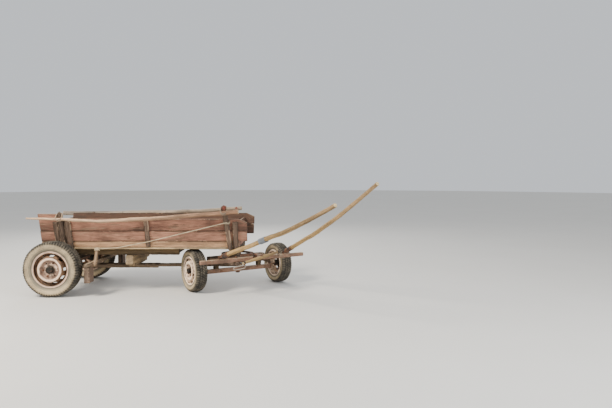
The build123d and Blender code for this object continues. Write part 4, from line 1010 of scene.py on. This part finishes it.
def nose_shape(front, nose, cut, place, low, high):
    """Plank whose top edge falls in a straight line from nose to front by the cut."""
    fall = cut * np.clip((place[..., 0] - nose) / (front - nose), 0, 1)
    return shift_face(place, low, high, -fall, top=True)


def end_board_shape(place, low, high):
    """End board between the leaning sides: its half length grows with height as the sides lean."""
    place[..., 0] *= side_y(place[..., 1], -SIDE_THICK) / side_y(high[1], -SIDE_THICK)
    return place


def taper_shape(rise, reach, place, low, high):
    """Beam whose underside rises toward each end over its last stretch."""
    lift = rise * np.clip((np.abs(place[..., 0]) - (high[0] - reach)) / reach, 0, 1)
    return shift_face(place, low, high, lift, top=False)


def chamfer_shape(place, low, high):
    """Beam whose top corners are cut off at 45 degrees at both ends."""
    past = np.abs(place[..., 0]) - (high[0] - SAND_BOARD_CUT)
    return shift_face(place, low, high, -np.clip(past, 0, SAND_BOARD_CUT), top=True)


def notch_shape(place, low, high):
    """Mid bearer whose ends are cut away underneath beyond the notch."""
    past = (np.abs(place[..., 0]) - NOTCH_AT + NOTCH_RAMP / 2) / NOTCH_RAMP
    return shift_face(place, low, high, NOTCH_DEEP * np.clip(past, 0, 1), top=False)


def point_shape(place, low, high):
    """Stake whose width closes to a blunt point over its last stretch."""
    middle = (low[1] + high[1]) / 2
    share = np.clip((high[0] - place[..., 0]) / POINT_LONG, POINT_BLUNT, 1)
    place[..., 1] = middle + (place[..., 1] - middle) * share
    return place


def lit_end_tint(place, base=0.35):
    """Tint of the mid bearer: 1 on its sawn ends, painted light of their sunlit end faces, and the base value
    along it.
    """
    along = place[..., 0]
    near = np.minimum(along - along.min(), along.max() - along)
    return np.maximum(base, np.clip(1.5 - near / END_GRAIN_LONG, 0, 1))


def crown(place):
    """Tint of a front stake: 1 on the paint and end grain over its top."""
    along = place[..., 0]
    return np.clip((along - along.max() + CROWN_LONG) / CROWN_FADE, 0, 1)


# The planks of a side from the lowest up: nose, and share of bare wood
PLANKS = [(partial(nose_shape, 1.090, 1.082, 0.009), 0.85),
          (partial(nose_shape, 1.186, 1.178, 0.007), 0.12),
          (partial(nose_shape, 1.190, NOSE_AT, 0.046), 0.0)]
# Timbers: node, axes, look, shape, tint, breaks, side of the third axis that faces the load
Timber = namedtuple("Timber", "node axes look shape tint breaks load_side",
                    defaults=(None, 0.0, (), 0))
TIMBERS = [
    Timber("floor_boards", "long", SAWN),
    Timber("sills", "long", WORN),
    Timber("cross_bearers", "cross", WORN),
    Timber("rear_bolster", "cross", HEWN, partial(taper_shape, 0.030, 0.100)),
    Timber("front_bolster", "cross", HEWN, partial(taper_shape, 0.050, 0.100)),
    Timber("mid_bearer", "cross", HEWN, notch_shape, lit_end_tint,
           [side * (NOTCH_AT + way * NOTCH_RAMP / 2) for side in (-1, 1) for way in (-1, 1)]),
    Timber("reach", "long", WORN),
    Timber("reach_cheeks", "long", WORN),
    Timber("battens_right", "right batten", WORN),
    Timber("battens_left", "left batten", WORN),
    Timber("corner_board", "right plank", SAWN),
    Timber("tailboard", "cross", SAWN, end_board_shape, load_side=1),
    Timber("headboard", "cross", SAWN, end_board_shape, load_side=-1),
    Timber("brake_beam", "cross", HEWN),
    Timber("brake_lever", "lever", WORN, tint=0.9),
    Timber("brake_shoes", "upright", WORN),
    Timber("axle_blocks", "fore upright", WORN),
    Timber("sand_board", "fore cross", HEWN, chamfer_shape,
           breaks=(PIN_ACROSS - SAND_BOARD_BREAK, PIN_ACROSS + SAND_BOARD_BREAK)),
    Timber("hounds", "fore long", WORN),
    Timber("splinter_bar", "fore cross", WORN),
]
# Seeds of the random shapes, one block for each kind of piece
PLANK_SEED, TIMBER_SEED, LEDGE_SEED, REAR_STAKE_SEED, FRONT_STAKE_SEED = 40, 100, 500, 531, 532
POLE_SEED, SHAFT_SEED, TREE_SEED, TYRE_SEED = 600, 620, 640, 700
ROPE_SEED, LEVER_LOOP_SEED, STAKE_LOOP_SEED, NAIL_SEED = 3, 5, 7, 11


class CART_OT_finishes(bpy.types.Operator):
    """Makes every finish and lays it on the CAD nodes that keep their own shape"""
    bl_idname = "cart.finishes"
    bl_label = "Finishes"

    def execute(self, context):
        make_finishes()
        for node, thing in frame["nodes"].items():
            if SLOT_OF[node] == "cream_rim":
                place = node.replace("rim_", "")
                finish = rim_finish(f"wheel paint {place.replace('_', ' ')}", *wheel_axle(place),
                                    WHEELS[place][0])
            else:
                finish = FINISHES[SLOT_OF[node]]
            thing.data.materials.clear()
            thing.data.materials.append(finish)
        return {"FINISHED"}


def side_bars(node, axes, look, seed, shape=None, tint=0.0):
    """Worn timbers of a node that has one solid on each side, with the axes of that side."""
    return [bar(AXES[f"{word} {axes}"], points, look, seed + place, shape, tint)
            for place, (word, points) in enumerate(zip(SIDES, solids_of(node, order=(1,))))]


class CART_OT_planks(bpy.types.Operator):
    """Makes the planks of both sides, each board with its own grain"""
    bl_idname = "cart.planks"
    bl_label = "Side planks"

    def execute(self, context):
        for word, side in SIDES.items():
            boards = []
            for place, points in enumerate(solids_of("side_" + word, order=(2,))):
                nose, bare = PLANKS[place]
                boards.append(bar(AXES[word + " plank"], points, SAWN,
                                  PLANK_SEED + 10 * place + (side > 0), nose, bare, (NOSE_AT,),
                                  load_side=-1))
            put("planks_" + word, boards, "cart", "painted_planks", ("side_" + word,))
        return {"FINISHED"}


class CART_OT_timbers(bpy.types.Operator):
    """Makes the other sawn timbers in the boxes of their CAD solids"""
    bl_idname = "cart.timbers"
    bl_label = "Timbers"

    def execute(self, context):
        for row, timber in enumerate(TIMBERS):
            bars = [bar(AXES[timber.axes], points, timber.look, TIMBER_SEED + 20 * row + place,
                        timber.shape, timber.tint, timber.breaks, timber.load_side)
                    for place, points in enumerate(solids_of(timber.node))]
            put(timber.node + "_worn", bars, BODY_OF[timber.node], SLOT_OF[timber.node],
                (timber.node,))
        return {"FINISHED"}


class CART_OT_ledges(bpy.types.Operator):
    """Makes the ledge strips along the foot of both sides"""
    bl_idname = "cart.ledges"
    bl_label = "Ledge strips"

    def execute(self, context):
        # Tint 1 gives the ledges the pale second tone, a painted lit edge along the foot of the sides.
        strips = side_bars("ledges", "plank", WORN, LEDGE_SEED, tint=1.0)
        put("ledge_strips", strips, "cart", "olive_timber", ("ledges",))
        return {"FINISHED"}


class CART_OT_stakes(bpy.types.Operator):
    """Makes the four pointed stakes"""
    bl_idname = "cart.stakes"
    bl_label = "Stakes"

    def execute(self, context):
        for node, axes, seed, tint in (("rear_stakes", "batten", REAR_STAKE_SEED, 0.0),
                                       ("front_stakes", "leaning stake", FRONT_STAKE_SEED, crown)):
            stakes = side_bars(node, axes, HEWN, seed, point_shape, tint)
            put(node + "_hewn", stakes, "cart", "worn_timber", (node,))
        return {"FINISHED"}


def pole_line(side):
    """Centres and radii of a rave pole at its stations, against the stakes' outer faces."""
    return [(x, side * side_y(z, STAKE_THICK + radius + FIT), z, radius)
            for x, z, radius in RAVE_POLES[side]]


def shaft_line(side):
    """Centres and radii of a shaft, with its straight tip."""
    hinge = np.array(JOINTS[f"shaft_{SHAFT_NAME[side]}_lift"]["pos_m"])
    rows = [np.append(hinge + AHEAD * ahead + UP * rise - side * ACROSS * drift, radius)
            for ahead, rise, drift, radius in SHAFTS[side]]
    tip = rows[-1][:3] + unit(rows[-1][:3] - rows[-2][:3]) * (SHAFT_TIP_LONG - SHAFT_TIP_SHORT)
    return rows + [np.append(tip, rows[-1][3])]


class CART_OT_rave_poles(bpy.types.Operator):
    """Makes the two grown poles along the top of the sides"""
    bl_idname = "cart.rave_poles"
    bl_label = "Rave poles"

    def execute(self, context):
        for word, slot, knots in (("right", "peeled_pole", 9), ("left", "grey_pole", 16)):
            side = SIDES[word]
            pole = grown_pole(pole_line(side), POLE_SEED + side, knots, sway=0.004)
            put("pole_" + word, [pole], "cart", slot, ("rave_pole_" + word,))
        return {"FINISHED"}


# Swingletree: share of its half length, radius
TREE_STATIONS = ((-1, 0.014), (-0.2, 0.021), (0.2, 0.021), (1, 0.014))


class CART_OT_shafts(bpy.types.Operator):
    """Makes the two shafts and the swingletree"""
    bl_idname = "cart.shafts"
    bl_label = "Shafts and swingletree"

    def execute(self, context):
        for side, knots in ((-1, 9), (1, 7)):
            name = "shaft_" + SHAFT_NAME[side]
            pole = grown_pole(shaft_line(side), SHAFT_SEED + side, knots, 0.0009, 0.0035)
            put(name + "_pole", [pole], name, "shaft_wood", (name,))
        points = solids_of("swingletree")[0]
        middle = points.mean(axis=0)
        axis = np.linalg.svd(points - middle, full_matrices=False)[2][0]
        reach = (points - middle) @ axis
        centre = middle + axis * (reach.max() + reach.min()) / 2
        half = (reach.max() - reach.min()) / 2
        rows = [np.append(centre + axis * half * share, radius) for share, radius in TREE_STATIONS]
        tree = grown_pole(rows, TREE_SEED, knots=4, rough=0.0006, sway=0.0)
        put("tree_bar", [tree], "swingletree", "shaft_wood", ("swingletree",))
        return {"FINISHED"}


# Tyres
BEAD_HIGH = 0.019             # the bead's straight foot above its seat
SHOULDER_DROP, SHOULDER_IN = 0.014, 0.007
TREAD_CROWN, TREAD_IN = 0.005, 0.018
REAR_TYRE_RADIUS = 0.3175     # the tyre for which the setting counts the pitches
FLANK_POINTS, SLANT_POINTS, LEAST_CROWN_POINTS, BASE_POINTS = 17, 8, 24, 6
TREAD_STEP = 0.0029           # distance between points across the tread
TURN_STEP = 0.0034            # distance between sections round the tread
GROOVE_AT = 0.56              # the side grooves, as a share of the tread's half width
LONG_GROOVE, CROSS_GROOVE, SIPE = 0.0090, 0.0085, 0.0065
SIPE_DEEP = 0.8               # share of the groove depth
FLANK_FROM, FLANK_OVER = 0.042, 0.020
RIBS = ((0.22, 0.03), (0.60, 0.02), (0.66, 0.02))     # share of the flank's height, and width
RIB_SOFT = 0.02
KNURL_AT, KNURL_WIDE, KNURLS = 0.74, 0.06, 3     # place and width on the flank, count for a pitch
RIB_HIGH, KNURL_HIGH, TYRE_WEAR = 0.0016, 0.0008, 0.0006
WEAR_REACH = 0.12
TYRE_CREASE = 60.0
TREAD_FADE, SHOULDER_FADE = 0.005, 0.003
CROSS_SLANT, SIPE_SLANT = 0.28, 0.9             # in pitches over half the tread


def arc(start, through, end, count):
    """Points on the circle through three points of a plane."""
    middle = np.array([(start + through) / 2, (through + end) / 2])
    normals = np.array([through - start, end - through])
    centre = np.linalg.solve(normals, (normals * middle).sum(axis=1))
    first, via, last = (np.arctan2(*(p - centre)[::-1]) for p in (start, through, end))
    if not min(first, last) <= via <= max(first, last):
        last += 2 * pi if last < first else -2 * pi
    turn = np.linspace(first, last, count)
    return centre + np.hypot(*(start - centre)) * np.stack([np.cos(turn), np.sin(turn)], axis=1)


def tyre_profile(radius, width, fit):
    """Section of a tyre, place along the axle and radius, with the number of its outer points and
    half the tread's width. The flanks are arcs through bead, belly and shoulder, and the crown is
    an arc through its middle."""
    half = width / 2
    foot = np.array([fit.bead_half, fit.bead_radius])
    belly = np.array([half, (fit.bead_radius + radius) / 2])
    shoulder = np.array([half - SHOULDER_IN, radius - SHOULDER_DROP])
    tread = np.array([half - TREAD_IN, radius - TREAD_CROWN])
    flank = arc(foot + [0, BEAD_HIGH], belly, shoulder, FLANK_POINTS)
    slant = np.linspace(shoulder, tread, SLANT_POINTS)[1:-1]
    crown_points = max(LEAST_CROWN_POINTS, int(2 * tread[0] / TREAD_STEP))
    top = arc(tread, np.array([0.0, radius]), tread * [-1, 1], crown_points)
    right = np.concatenate([foot[None], flank, slant])
    outer = np.concatenate([right, top, right[::-1] * [-1, 1]])
    base = np.linspace(foot * [-1, 1], foot, BASE_POINTS)[1:-1]
    return np.concatenate([outer, base]), len(outer), tread[0]


def pulse(distance, wide, soft=0.0022):
    """1 inside a groove or rib and 0 outside it, with soft edges."""
    return np.clip((wide / 2 - np.abs(distance)) / soft + 0.5, 0, 1)


def tyre_surface(hub, axis, radius, width, fit, pitches, seed):
    """Treaded tyre: its section turned round the axle, sunk along the section's normal by the
    grooves.

    Long grooves sway as a triangle wave of the turn. Cross grooves lie between the shoulder blocks
    and fade down the flank. Fine ribs ring the flank."""
    settings = bpy.context.scene.cart_tread
    profile, outer, tread = tyre_profile(radius, width, fit)
    turn = full_turn(int(2 * pi * radius / TURN_STEP / pitches) * pitches)[:, None]
    place, height = profile[None, :, 0], profile[None, :, 1]
    slope = unit(np.roll(profile, -1, axis=0) - np.roll(profile, 1, axis=0))
    normal = np.stack([slope[:, 1], -slope[:, 0]], axis=1)
    normal *= np.sign(normal[outer // 2, 1])
    phase = turn * pitches / (2 * pi)
    pitch_long = 2 * pi * radius / pitches
    sway = settings.zigzag * (2 * np.abs(2 * (phase % 1) - 1) - 1)
    on_tread = np.clip((height - (radius - SHOULDER_DROP)) / TREAD_FADE, 0, 1)
    on_shoulder = np.clip((np.abs(place) - GROOVE_AT * tread) / SHOULDER_FADE, 0, 1)
    down_flank = np.clip((height - (radius - FLANK_FROM)) / FLANK_OVER, 0, 1)
    long_grooves = np.max([pulse(place - share * tread - sway, LONG_GROOVE)
                           for share in (-GROOVE_AT, 0.0, GROOVE_AT)], axis=0)
    cross_phase = ((phase + CROSS_SLANT * place / tread + 0.5) % 1 - 0.5) * pitch_long
    cross_grooves = pulse(cross_phase, CROSS_GROOVE) * on_shoulder * down_flank
    sipe_phase = ((phase + 0.5 - SIPE_SLANT * place / tread) % 1 - 0.5) * pitch_long
    sipes = pulse(sipe_phase, SIPE) * (1 - on_shoulder)
    sunk = np.maximum(np.maximum(long_grooves * on_tread, cross_grooves),
                      SIPE_DEEP * sipes * on_tread)
    sunk[:, outer:] = 0
    flank = 1 - down_flank
    share = (height - fit.bead_radius) / (radius - fit.bead_radius)
    ribs = sum(pulse(share - at, wide, RIB_SOFT) for at, wide in RIBS)
    knurl = pulse(share - KNURL_AT, KNURL_WIDE, RIB_SOFT)
    knurl = knurl * (0.5 + 0.5 * np.cos(turn * pitches * KNURLS))
    lift = -flank * (RIB_HIGH * (1 - ribs) + KNURL_HIGH * knurl)
    lift = np.where(np.arange(len(profile))[None] < outer, lift, 0.0)
    worn = TYRE_WEAR * (swell(turn * radius, place + 0 * turn, seed, WEAR_REACH) - 1)
    offset = worn + lift - settings.groove * sunk
    radial = height + offset * normal[None, :, 1]
    across = place + offset * normal[None, :, 0]
    spoke = np.cos(turn)[..., None] * np.cross(UP, axis) + np.sin(turn)[..., None] * UP
    rings = hub + across[..., None] * axis + radial[..., None] * spoke
    # The edge mark carries the groove depth, where the rubber finish paints shade.
    return sweep(rings, edge=sunk, tint=(1 - on_tread) * flank, board=np.clip(share, 0, 1),
                 loop=True)


class CART_OT_tyres(bpy.types.Operator):
    """Makes the four treaded tyres"""
    bl_idname = "cart.tyres"
    bl_label = "Tyres"

    def execute(self, context):
        for number, (place, (fit, _)) in enumerate(WHEELS.items()):
            hub, axis = wheel_axle(place)
            points = np.concatenate(solids_of("tyre_" + place))
            radius = np.ptp(points[:, 2]) / 2
            pitches = round(context.scene.cart_tread.pitches * radius / REAR_TYRE_RADIUS)
            tyre = tyre_surface(hub, axis, radius, np.ptp(points @ axis), fit, pitches,
                                TYRE_SEED + number)
            put("tread_" + place, [tyre], "wheel_" + place, "tyre", ("tyre_" + place,),
                TYRE_CREASE)
        return {"FINISHED"}


NUT_CREASE = 25.0
NUT_HIGH, NUT_GAP = 0.014, 0.0002
VALVE_TURN = radians(118)
VALVE_OUT, VALVE_IN = 0.050, 0.012     # out from the hub, and in from the bead seat
VALVE_LEAN = (0.75, 0.66)              # its way: out, and in toward the hub
VALVE = [(0.007, -0.004), (0.0065, 0.006), (0.004, 0.012), (0.004, 0.026), (0.003, 0.028)]


# Turned profiles: share of the radius, share of the nut's height
NUT_PROFILE = ((0.9, 0), (1, 0.12), (1, 0.82), (0.86, 1))
BOLT_PROFILE = ((1, 0.5), (1, 1.45), (0.7, 1.6))


def nut(centre, axis, across, high, bolt=0.006):
    """Hexagonal nut with chamfered corners and the domed end of its bolt."""
    corner = across / 2 / cos(pi / 6)
    return [turned([(radius * wide, high * up) for wide, up in profile], centre, axis, sides)
            for radius, profile, sides in ((corner, NUT_PROFILE, 6), (bolt, BOLT_PROFILE, 12))]


class CART_OT_wheel_nuts(bpy.types.Operator):
    """Makes the wheel nuts that are left, and the valves"""
    bl_idname = "cart.wheel_nuts"
    bl_label = "Wheel nuts and valves"

    def execute(self, context):
        for place, (fit, side) in WHEELS.items():
            hub, axis = wheel_axle(place)
            outward = side * axis
            level = np.cross(UP, outward)
            nuts = []
            for lug in fit.nutted:
                angle = LUG_START + 2 * pi * lug / fit.lug_count
                spot = (hub + outward * (fit.floor_out + NUT_GAP)
                        + fit.lug_radius * (level * cos(angle) + UP * sin(angle)))
                nuts += nut(spot, outward, fit.nut_across, NUT_HIGH)
            put("nuts_" + place, nuts, "wheel_" + place, "rusty_iron", crease=NUT_CREASE)
            way = level * cos(VALVE_TURN) + UP * sin(VALVE_TURN)
            foot = hub + outward * VALVE_OUT + way * (fit.bead_radius - VALVE_IN)
            lean = unit(outward * VALVE_LEAN[0] - way * VALVE_LEAN[1])
            stem = turned(VALVE, foot, lean, 12)
            put("valve_" + place, [stem], "wheel_" + place, "tyre")
        return {"FINISHED"}


# Ropes
TIE_SQUARE = 2 / 3.2          # power that makes the turns of a tie nearly square
TIE_REACH = 0.0335            # half width of a pole tie's turns
TIE_OUT, TIE_SLACK = 0.003, 0.012          # play of a tie outside the pole, and on both sides
TIE_FULL = 0.93               # share of its depth that pole and stake fill
TIE_RISE = 0.002
TIE_PITCH, ROPE_PITCH, BINDING_PITCH = 0.0115, 0.0105, 0.0062
# Pole ties: side, turns, rope radius, dullness of the rear and the front tie, tilt
POLE_TIES = ((-1, 3, 0.0062, (0.15, 0.75), 0.37), (1, 2, 0.0050, (0.7, 0.7), -0.30))
LEVER_KNOT = (0.048, -0.520, -0.010)       # ahead of the lever's rear face, left, up
STAKE_KNOT = (0.9585, 0.305)               # along the body, and up
ROPE_STATIONS = [(0.966, -0.5745, 0.303), (0.030, -0.4785, 0.069), (-0.345, -0.4565, -0.004)]
ROPE_END = (0.004, 0.002, 0.002)           # where the rope meets the lever, from its knot
ROPE_STEP, ROPE_SMOOTH = 0.0035, 0.03
LEVER_LOOP, STAKE_LOOP = (0.026, 0.019), (0.036, 0.032)    # half sizes of the ropes' turns
STAKE_LOOP_DULL = 0.55
LINK_LONG, LINK_WIDE, LINK_WIRE = 0.070, 0.017, 0.004      # half sizes and wire radius
LINK_REAR = -AHEAD * 0.08 - ACROSS * 0.99 - UP * 0.10      # the way that it trails
LINK_SLACK, LINK_RISE, EYE_FOOT = 0.008, 0.004, 0.010
BINDING_AT = 0.865 + 0.0186 * np.arange(6)                 # along the right shaft
BINDING_OUT, BINDING_THICK = 0.0022, 0.0031


def tie_path(centre, sizes, ways, turns, pitch, count=64):
    """Turns of a tie round two crossed pieces: a superellipse of two half sizes in the plane of two
    ways, climbing a third."""
    turn = np.linspace(0, 2 * pi * turns, int(count * turns), endpoint=True)
    parts = [np.sign(wave) * np.abs(wave) ** TIE_SQUARE * size
             for wave, size in zip((np.cos(turn), np.sin(turn)), sizes)]
    parts.append((turn / (2 * pi) - turns / 2) * pitch)
    return np.asarray(centre) + np.stack(parts, axis=1) @ np.array(ways)


class CART_OT_ties(bpy.types.Operator):
    """Makes the twisted ties that hold the rave poles to the stakes"""
    bl_idname = "cart.ties"
    bl_label = "Pole ties"

    def execute(self, context):
        ties = []
        for side, turns, thick, dulled, tilt in POLE_TIES:
            upright = np.sqrt(1 - tilt ** 2)
            deep_way = OUTWARD[side] * upright - SLOPE[side] * tilt
            lift_way = OUTWARD[side] * tilt + SLOPE[side] * upright
            for number, dull in zip(STAKE_STATIONS, dulled):
                *centre, radius = pole_line(side)[number]
                front = np.array(centre) + OUTWARD[side] * (radius + TIE_OUT)
                depth = (STAKE_THICK + 2 * radius + TIE_SLACK) / 2 / TIE_FULL
                centre = front - deep_way * depth + lift_way * TIE_RISE * np.sign(tilt)
                path = tie_path(centre, (TIE_REACH, depth), (FORWARD, deep_way, lift_way), turns,
                                TIE_PITCH)
                ties.append(laid_rope(path, thick, lift_way, number + side, dull))
        put("pole_ties", ties, "cart", "worn_timber", ("pole_straps",), finish="withe")
        return {"FINISHED"}


class CART_OT_brake_rope(bpy.types.Operator):
    """Makes the taut brake rope from the front stake to the brake lever"""
    bl_idname = "cart.brake_rope"
    bl_label = "Brake rope"

    def execute(self, context):
        radius = context.scene.cart_rope.radius
        lever = np.array(LEVER_KNOT) + [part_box("brake_lever")[0].x, 0, 0]
        path, _ = resample(ROPE_STATIONS + [lever + ROPE_END], ROPE_STEP, ROPE_SMOOTH)
        along, height = STAKE_KNOT
        stake = (along, -side_y(height, STAKE_THICK / 2), height)
        lever_turns = tie_path(lever, LEVER_LOOP, (FORWARD, LEFTWARD, UP), 3, ROPE_PITCH, 48)
        stake_turns = tie_path(stake, STAKE_LOOP, (FORWARD, OUTWARD[-1], SLOPE[-1]), 2, ROPE_PITCH,
                               56)
        ropes = [laid_rope(path, radius, UP, ROPE_SEED),
                 laid_rope(lever_turns, radius, UP, LEVER_LOOP_SEED),
                 laid_rope(stake_turns, radius, SLOPE[-1], STAKE_LOOP_SEED, STAKE_LOOP_DULL)]
        put("brake_rope", ropes, "cart", "pale_timber", finish="rope")
        return {"FINISHED"}


class CART_OT_trace_link(bpy.types.Operator):
    """Makes the long iron link at the near end of the swingletree"""
    bl_idname = "cart.trace_link"
    bl_label = "Link"

    def execute(self, context):
        eye = solids_of("tree_eyes", order=(1,))[0]
        low = eye[eye[:, 2] < eye[:, 2].min() + EYE_FOOT].mean(axis=0)
        rear = unit(LINK_REAR)
        beside = unit(np.cross(UP, rear))
        above = np.cross(rear, beside)
        turn = full_turn(72)
        along = np.cos(turn) * LINK_WIDE + np.sign(np.cos(turn)) * (LINK_LONG - LINK_WIDE)
        path = (low + rear * (LINK_LONG - LINK_SLACK) + UP * LINK_RISE + along[:, None] * rear
                + (np.sin(turn) * LINK_WIDE)[:, None] * above)
        put("trace_link", [wire_loop(path, LINK_WIRE, beside)], "swingletree", "rusty_iron",
            finish="dusty_iron")
        return {"FINISHED"}


class CART_OT_shaft_binding(bpy.types.Operator):
    """Makes the binding wound round the right shaft"""
    bl_idname = "cart.shaft_binding"
    bl_label = "Shaft binding"

    def execute(self, context):
        stations, _ = resample(shaft_line(-1), 0.01, POLE_SMOOTH)
        run = np.linalg.norm(stations[:, :3] - stations[0, :3], axis=1)
        wraps = []
        for number, start in enumerate(BINDING_AT):
            nearest = np.argmin(np.abs(run - start))
            middle, radius = stations[nearest, :3], stations[nearest, 3]
            way = unit(stations[nearest + 2, :3] - middle)
            beside = unit(np.cross(way, UP))
            reach = radius + BINDING_OUT
            path = tie_path(middle, (reach, reach), (beside, np.cross(beside, way), way), 3,
                            BINDING_PITCH, 40)
            wraps.append(laid_rope(path, BINDING_THICK, way, seed=number))
        put("shaft_binding", wraps, "shaft_right", "shaft_wood", finish="wrap")
        return {"FINISHED"}


# Nails and bolts
NAIL_ROWS, NAIL_PLACES = (0.10, 0.24, 0.42, 0.58, 0.76, 0.92), (0.3, 0.7)
NAIL_SINK, NAIL_STRAY, NAIL_SIZES = 0.0012, 0.005, (0.8, 1.1)
NAIL_PROFILE = ((1, -0.001), (0.96, 0.0006), (0.7, 0.0015), (0.3, 0.0019))   # radius share, height
BAR_BOLT_AHEAD, BAR_BOLT_ACROSS = 0.420, 0.235       # from the king pin
WASHER = [(0.016, 0), (0.016, 0.002), (0.0155, 0.003)]
WASHER_SINK = 0.001
BAR_NUT = (0.024, 0.012, 0.007)                      # width across flats, height, bolt radius


def nail_head(place, way, radius):
    """Low domed nail head at a place on a face."""
    return turned([(radius * wide, up) for wide, up in NAIL_PROFILE], place, way, 9)


class CART_OT_fastenings(bpy.types.Operator):
    """Makes the nails through the battens and the bolts of the running gear"""
    bl_idname = "cart.fastenings"
    bl_label = "Nails and bolts"

    def execute(self, context):
        radius = context.scene.cart_timber.nail
        rng = np.random.default_rng(NAIL_SEED)
        heads = []
        for word, side in SIDES.items():
            axes = AXES[word + " batten"]
            for points in solids_of("battens_" + word):
                local = points @ axes.T
                low, high = local.min(axis=0), local.max(axis=0)
                for share in (np.array([row, place]) for row in NAIL_ROWS for place in NAIL_PLACES):
                    spot = np.append(low[:2] + share * (high - low)[:2], high[2] - NAIL_SINK)
                    spot[:2] += rng.uniform(-NAIL_STRAY, NAIL_STRAY, 2)
                    heads.append(nail_head(spot @ axes, OUTWARD[side],
                                           radius * rng.uniform(*NAIL_SIZES)))
        put("nails", heads, "cart", "rusty_iron")
        bolts = []
        for across in (-BAR_BOLT_ACROSS, BAR_BOLT_ACROSS):
            spot = STEER_PIN + AHEAD * BAR_BOLT_AHEAD + ACROSS * across
            spot[2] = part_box("splinter_bar")[1].z - WASHER_SINK
            bolts.append(turned(WASHER, spot, UP, 20))
            bolts += nut(spot + UP * WASHER[-1][1], UP, *BAR_NUT)
        put("bar_bolts", bolts, "forecarriage", "rusty_iron", crease=NUT_CREASE)
        return {"FINISHED"}


# Stage
FLOOR_SIDES = 96
FLOOR_UNDER_CART = 0.0005
FLOOR_TONES = (0.66, 0.64, 0.60, 1.0), (0.72, 0.70, 0.66, 1.0)
SENSOR, VIEW_FAR = 36.0, 200.0         # sensor width in mm, and the farthest that is seen in m
AIR = (0.86, 0.90, 0.95, 1.0)
LIGHTS_AIM = Vector((0.3, 0.0, 0.0))
# Lights: name, place, size, setting of its power, colour
LIGHTS = (("key", (-3.6, -4.2, 5.2), 2.2, "key", (1.0, 0.93, 0.82)),
          ("fill", (5.5, -5.0, 2.6), 4.0, "fill", (0.92, 0.96, 1.0)),
          ("back", (-1.0, 6.0, 4.0), 4.0, "fill", (1.0, 0.98, 0.95)))


class CART_OT_stage(bpy.types.Operator):
    """Sets the pale floor, the soft lights and the camera"""
    bl_idname = "cart.stage"
    bl_label = "Stage, lights and camera"

    def execute(self, context):
        settings = context.scene.cart_stage
        turn = full_turn(FLOOR_SIDES)
        ring = np.stack([np.cos(turn), np.sin(turn), 0 * turn], axis=1)
        points = np.concatenate([[[0, 0, 0]], ring * settings.floor * 0.25, ring * settings.floor])
        points[:, 2] = GROUND - FLOOR_UNDER_CART
        inner = np.arange(1, FLOOR_SIDES + 1)
        beside = np.roll(inner, -1)
        faces = np.stack([0 * inner, inner, beside], axis=1).tolist()
        faces += np.stack([inner, inner + FLOOR_SIDES, beside + FLOOR_SIDES, beside],
                          axis=1).tolist()
        mesh = bpy.data.meshes.new("stage_floor")
        mesh.from_pydata(points.tolist(), [], faces)
        material, graph = start_material("pale floor")
        graph.colour = graph.layer(graph.noise(graph.place(), 0.8), *FLOOR_TONES)
        graph.finish(Roughness=0.9)
        mesh.materials.append(material)
        floor = link("stage_floor", mesh)
        world = bpy.data.worlds.new("pale air")
        world.use_nodes = True
        background = world.node_tree.nodes["Background"].inputs
        background["Color"].default_value = AIR
        background["Strength"].default_value = settings.air
        context.scene.world = world
        for name, place, size, power, tint in LIGHTS:
            data = bpy.data.lights.new(name, "AREA")
            data.size = size
            data.energy = getattr(settings, power)
            data.color = tint
            light = link(name, data)
            light.location = place
            way = LIGHTS_AIM - Vector(place)
            light.rotation_euler = way.to_track_quat("-Z", "Y").to_euler()
        camera = link("camera", bpy.data.cameras.new("camera"))
        camera.data.lens = settings.lens
        camera.data.sensor_width = SENSOR
        camera.data.clip_end = VIEW_FAR
        camera.location = Vector(settings.eye) + Vector((0.0, 0.0, GROUND))
        camera.rotation_euler = (pi / 2 - settings.pitch, 0.0, 0.0)
        context.scene.camera = camera
        return {"FINISHED"}


class CART_PT_panel(bpy.types.Panel):
    """Lists the cart's operators and settings"""
    bl_idname = "CART_PT_panel"
    bl_label = "Farm cart"
    bl_space_type = "VIEW_3D"
    bl_region_type = "UI"
    bl_category = "Cart"

    def draw(self, context):
        for operator in OPERATORS:
            self.layout.operator(operator.bl_idname)
        for name in SETTINGS:
            box = self.layout.box()
            box.label(text=name.replace("_", " "))
            group = getattr(context.scene, name)
            for key in group.__annotations__:
                box.prop(group, key)


OPERATORS = [CART_OT_stage, CART_OT_finishes, CART_OT_planks, CART_OT_timbers, CART_OT_ledges,
             CART_OT_stakes, CART_OT_rave_poles, CART_OT_shafts, CART_OT_tyres,
             CART_OT_wheel_nuts, CART_OT_ties, CART_OT_brake_rope, CART_OT_fastenings,
             CART_OT_trace_link, CART_OT_shaft_binding]
SETTINGS = {"cart_colours": CartColours, "cart_timber": CartTimber, "cart_tread": CartTread,
            "cart_rope": CartRope, "cart_stage": CartStage}


def register():
    """Registers the settings, the operators and the panel."""
    for kind in (*SETTINGS.values(), *OPERATORS, CART_PT_panel):
        bpy.utils.register_class(kind)
    for name, kind in SETTINGS.items():
        setattr(bpy.types.Scene, name, bpy.props.PointerProperty(type=kind))


def unregister():
    """Takes the settings, the operators and the panel away again."""
    for name in SETTINGS:
        delattr(bpy.types.Scene, name)
    for kind in (CART_PT_panel, *reversed(OPERATORS), *reversed(SETTINGS.values())):
        bpy.utils.unregister_class(kind)


def main():
    register()
    for operator in OPERATORS:
        family, name = operator.bl_idname.split(".")
        getattr(getattr(bpy.ops, family), name)()


if __name__ == "__main__":
    main()
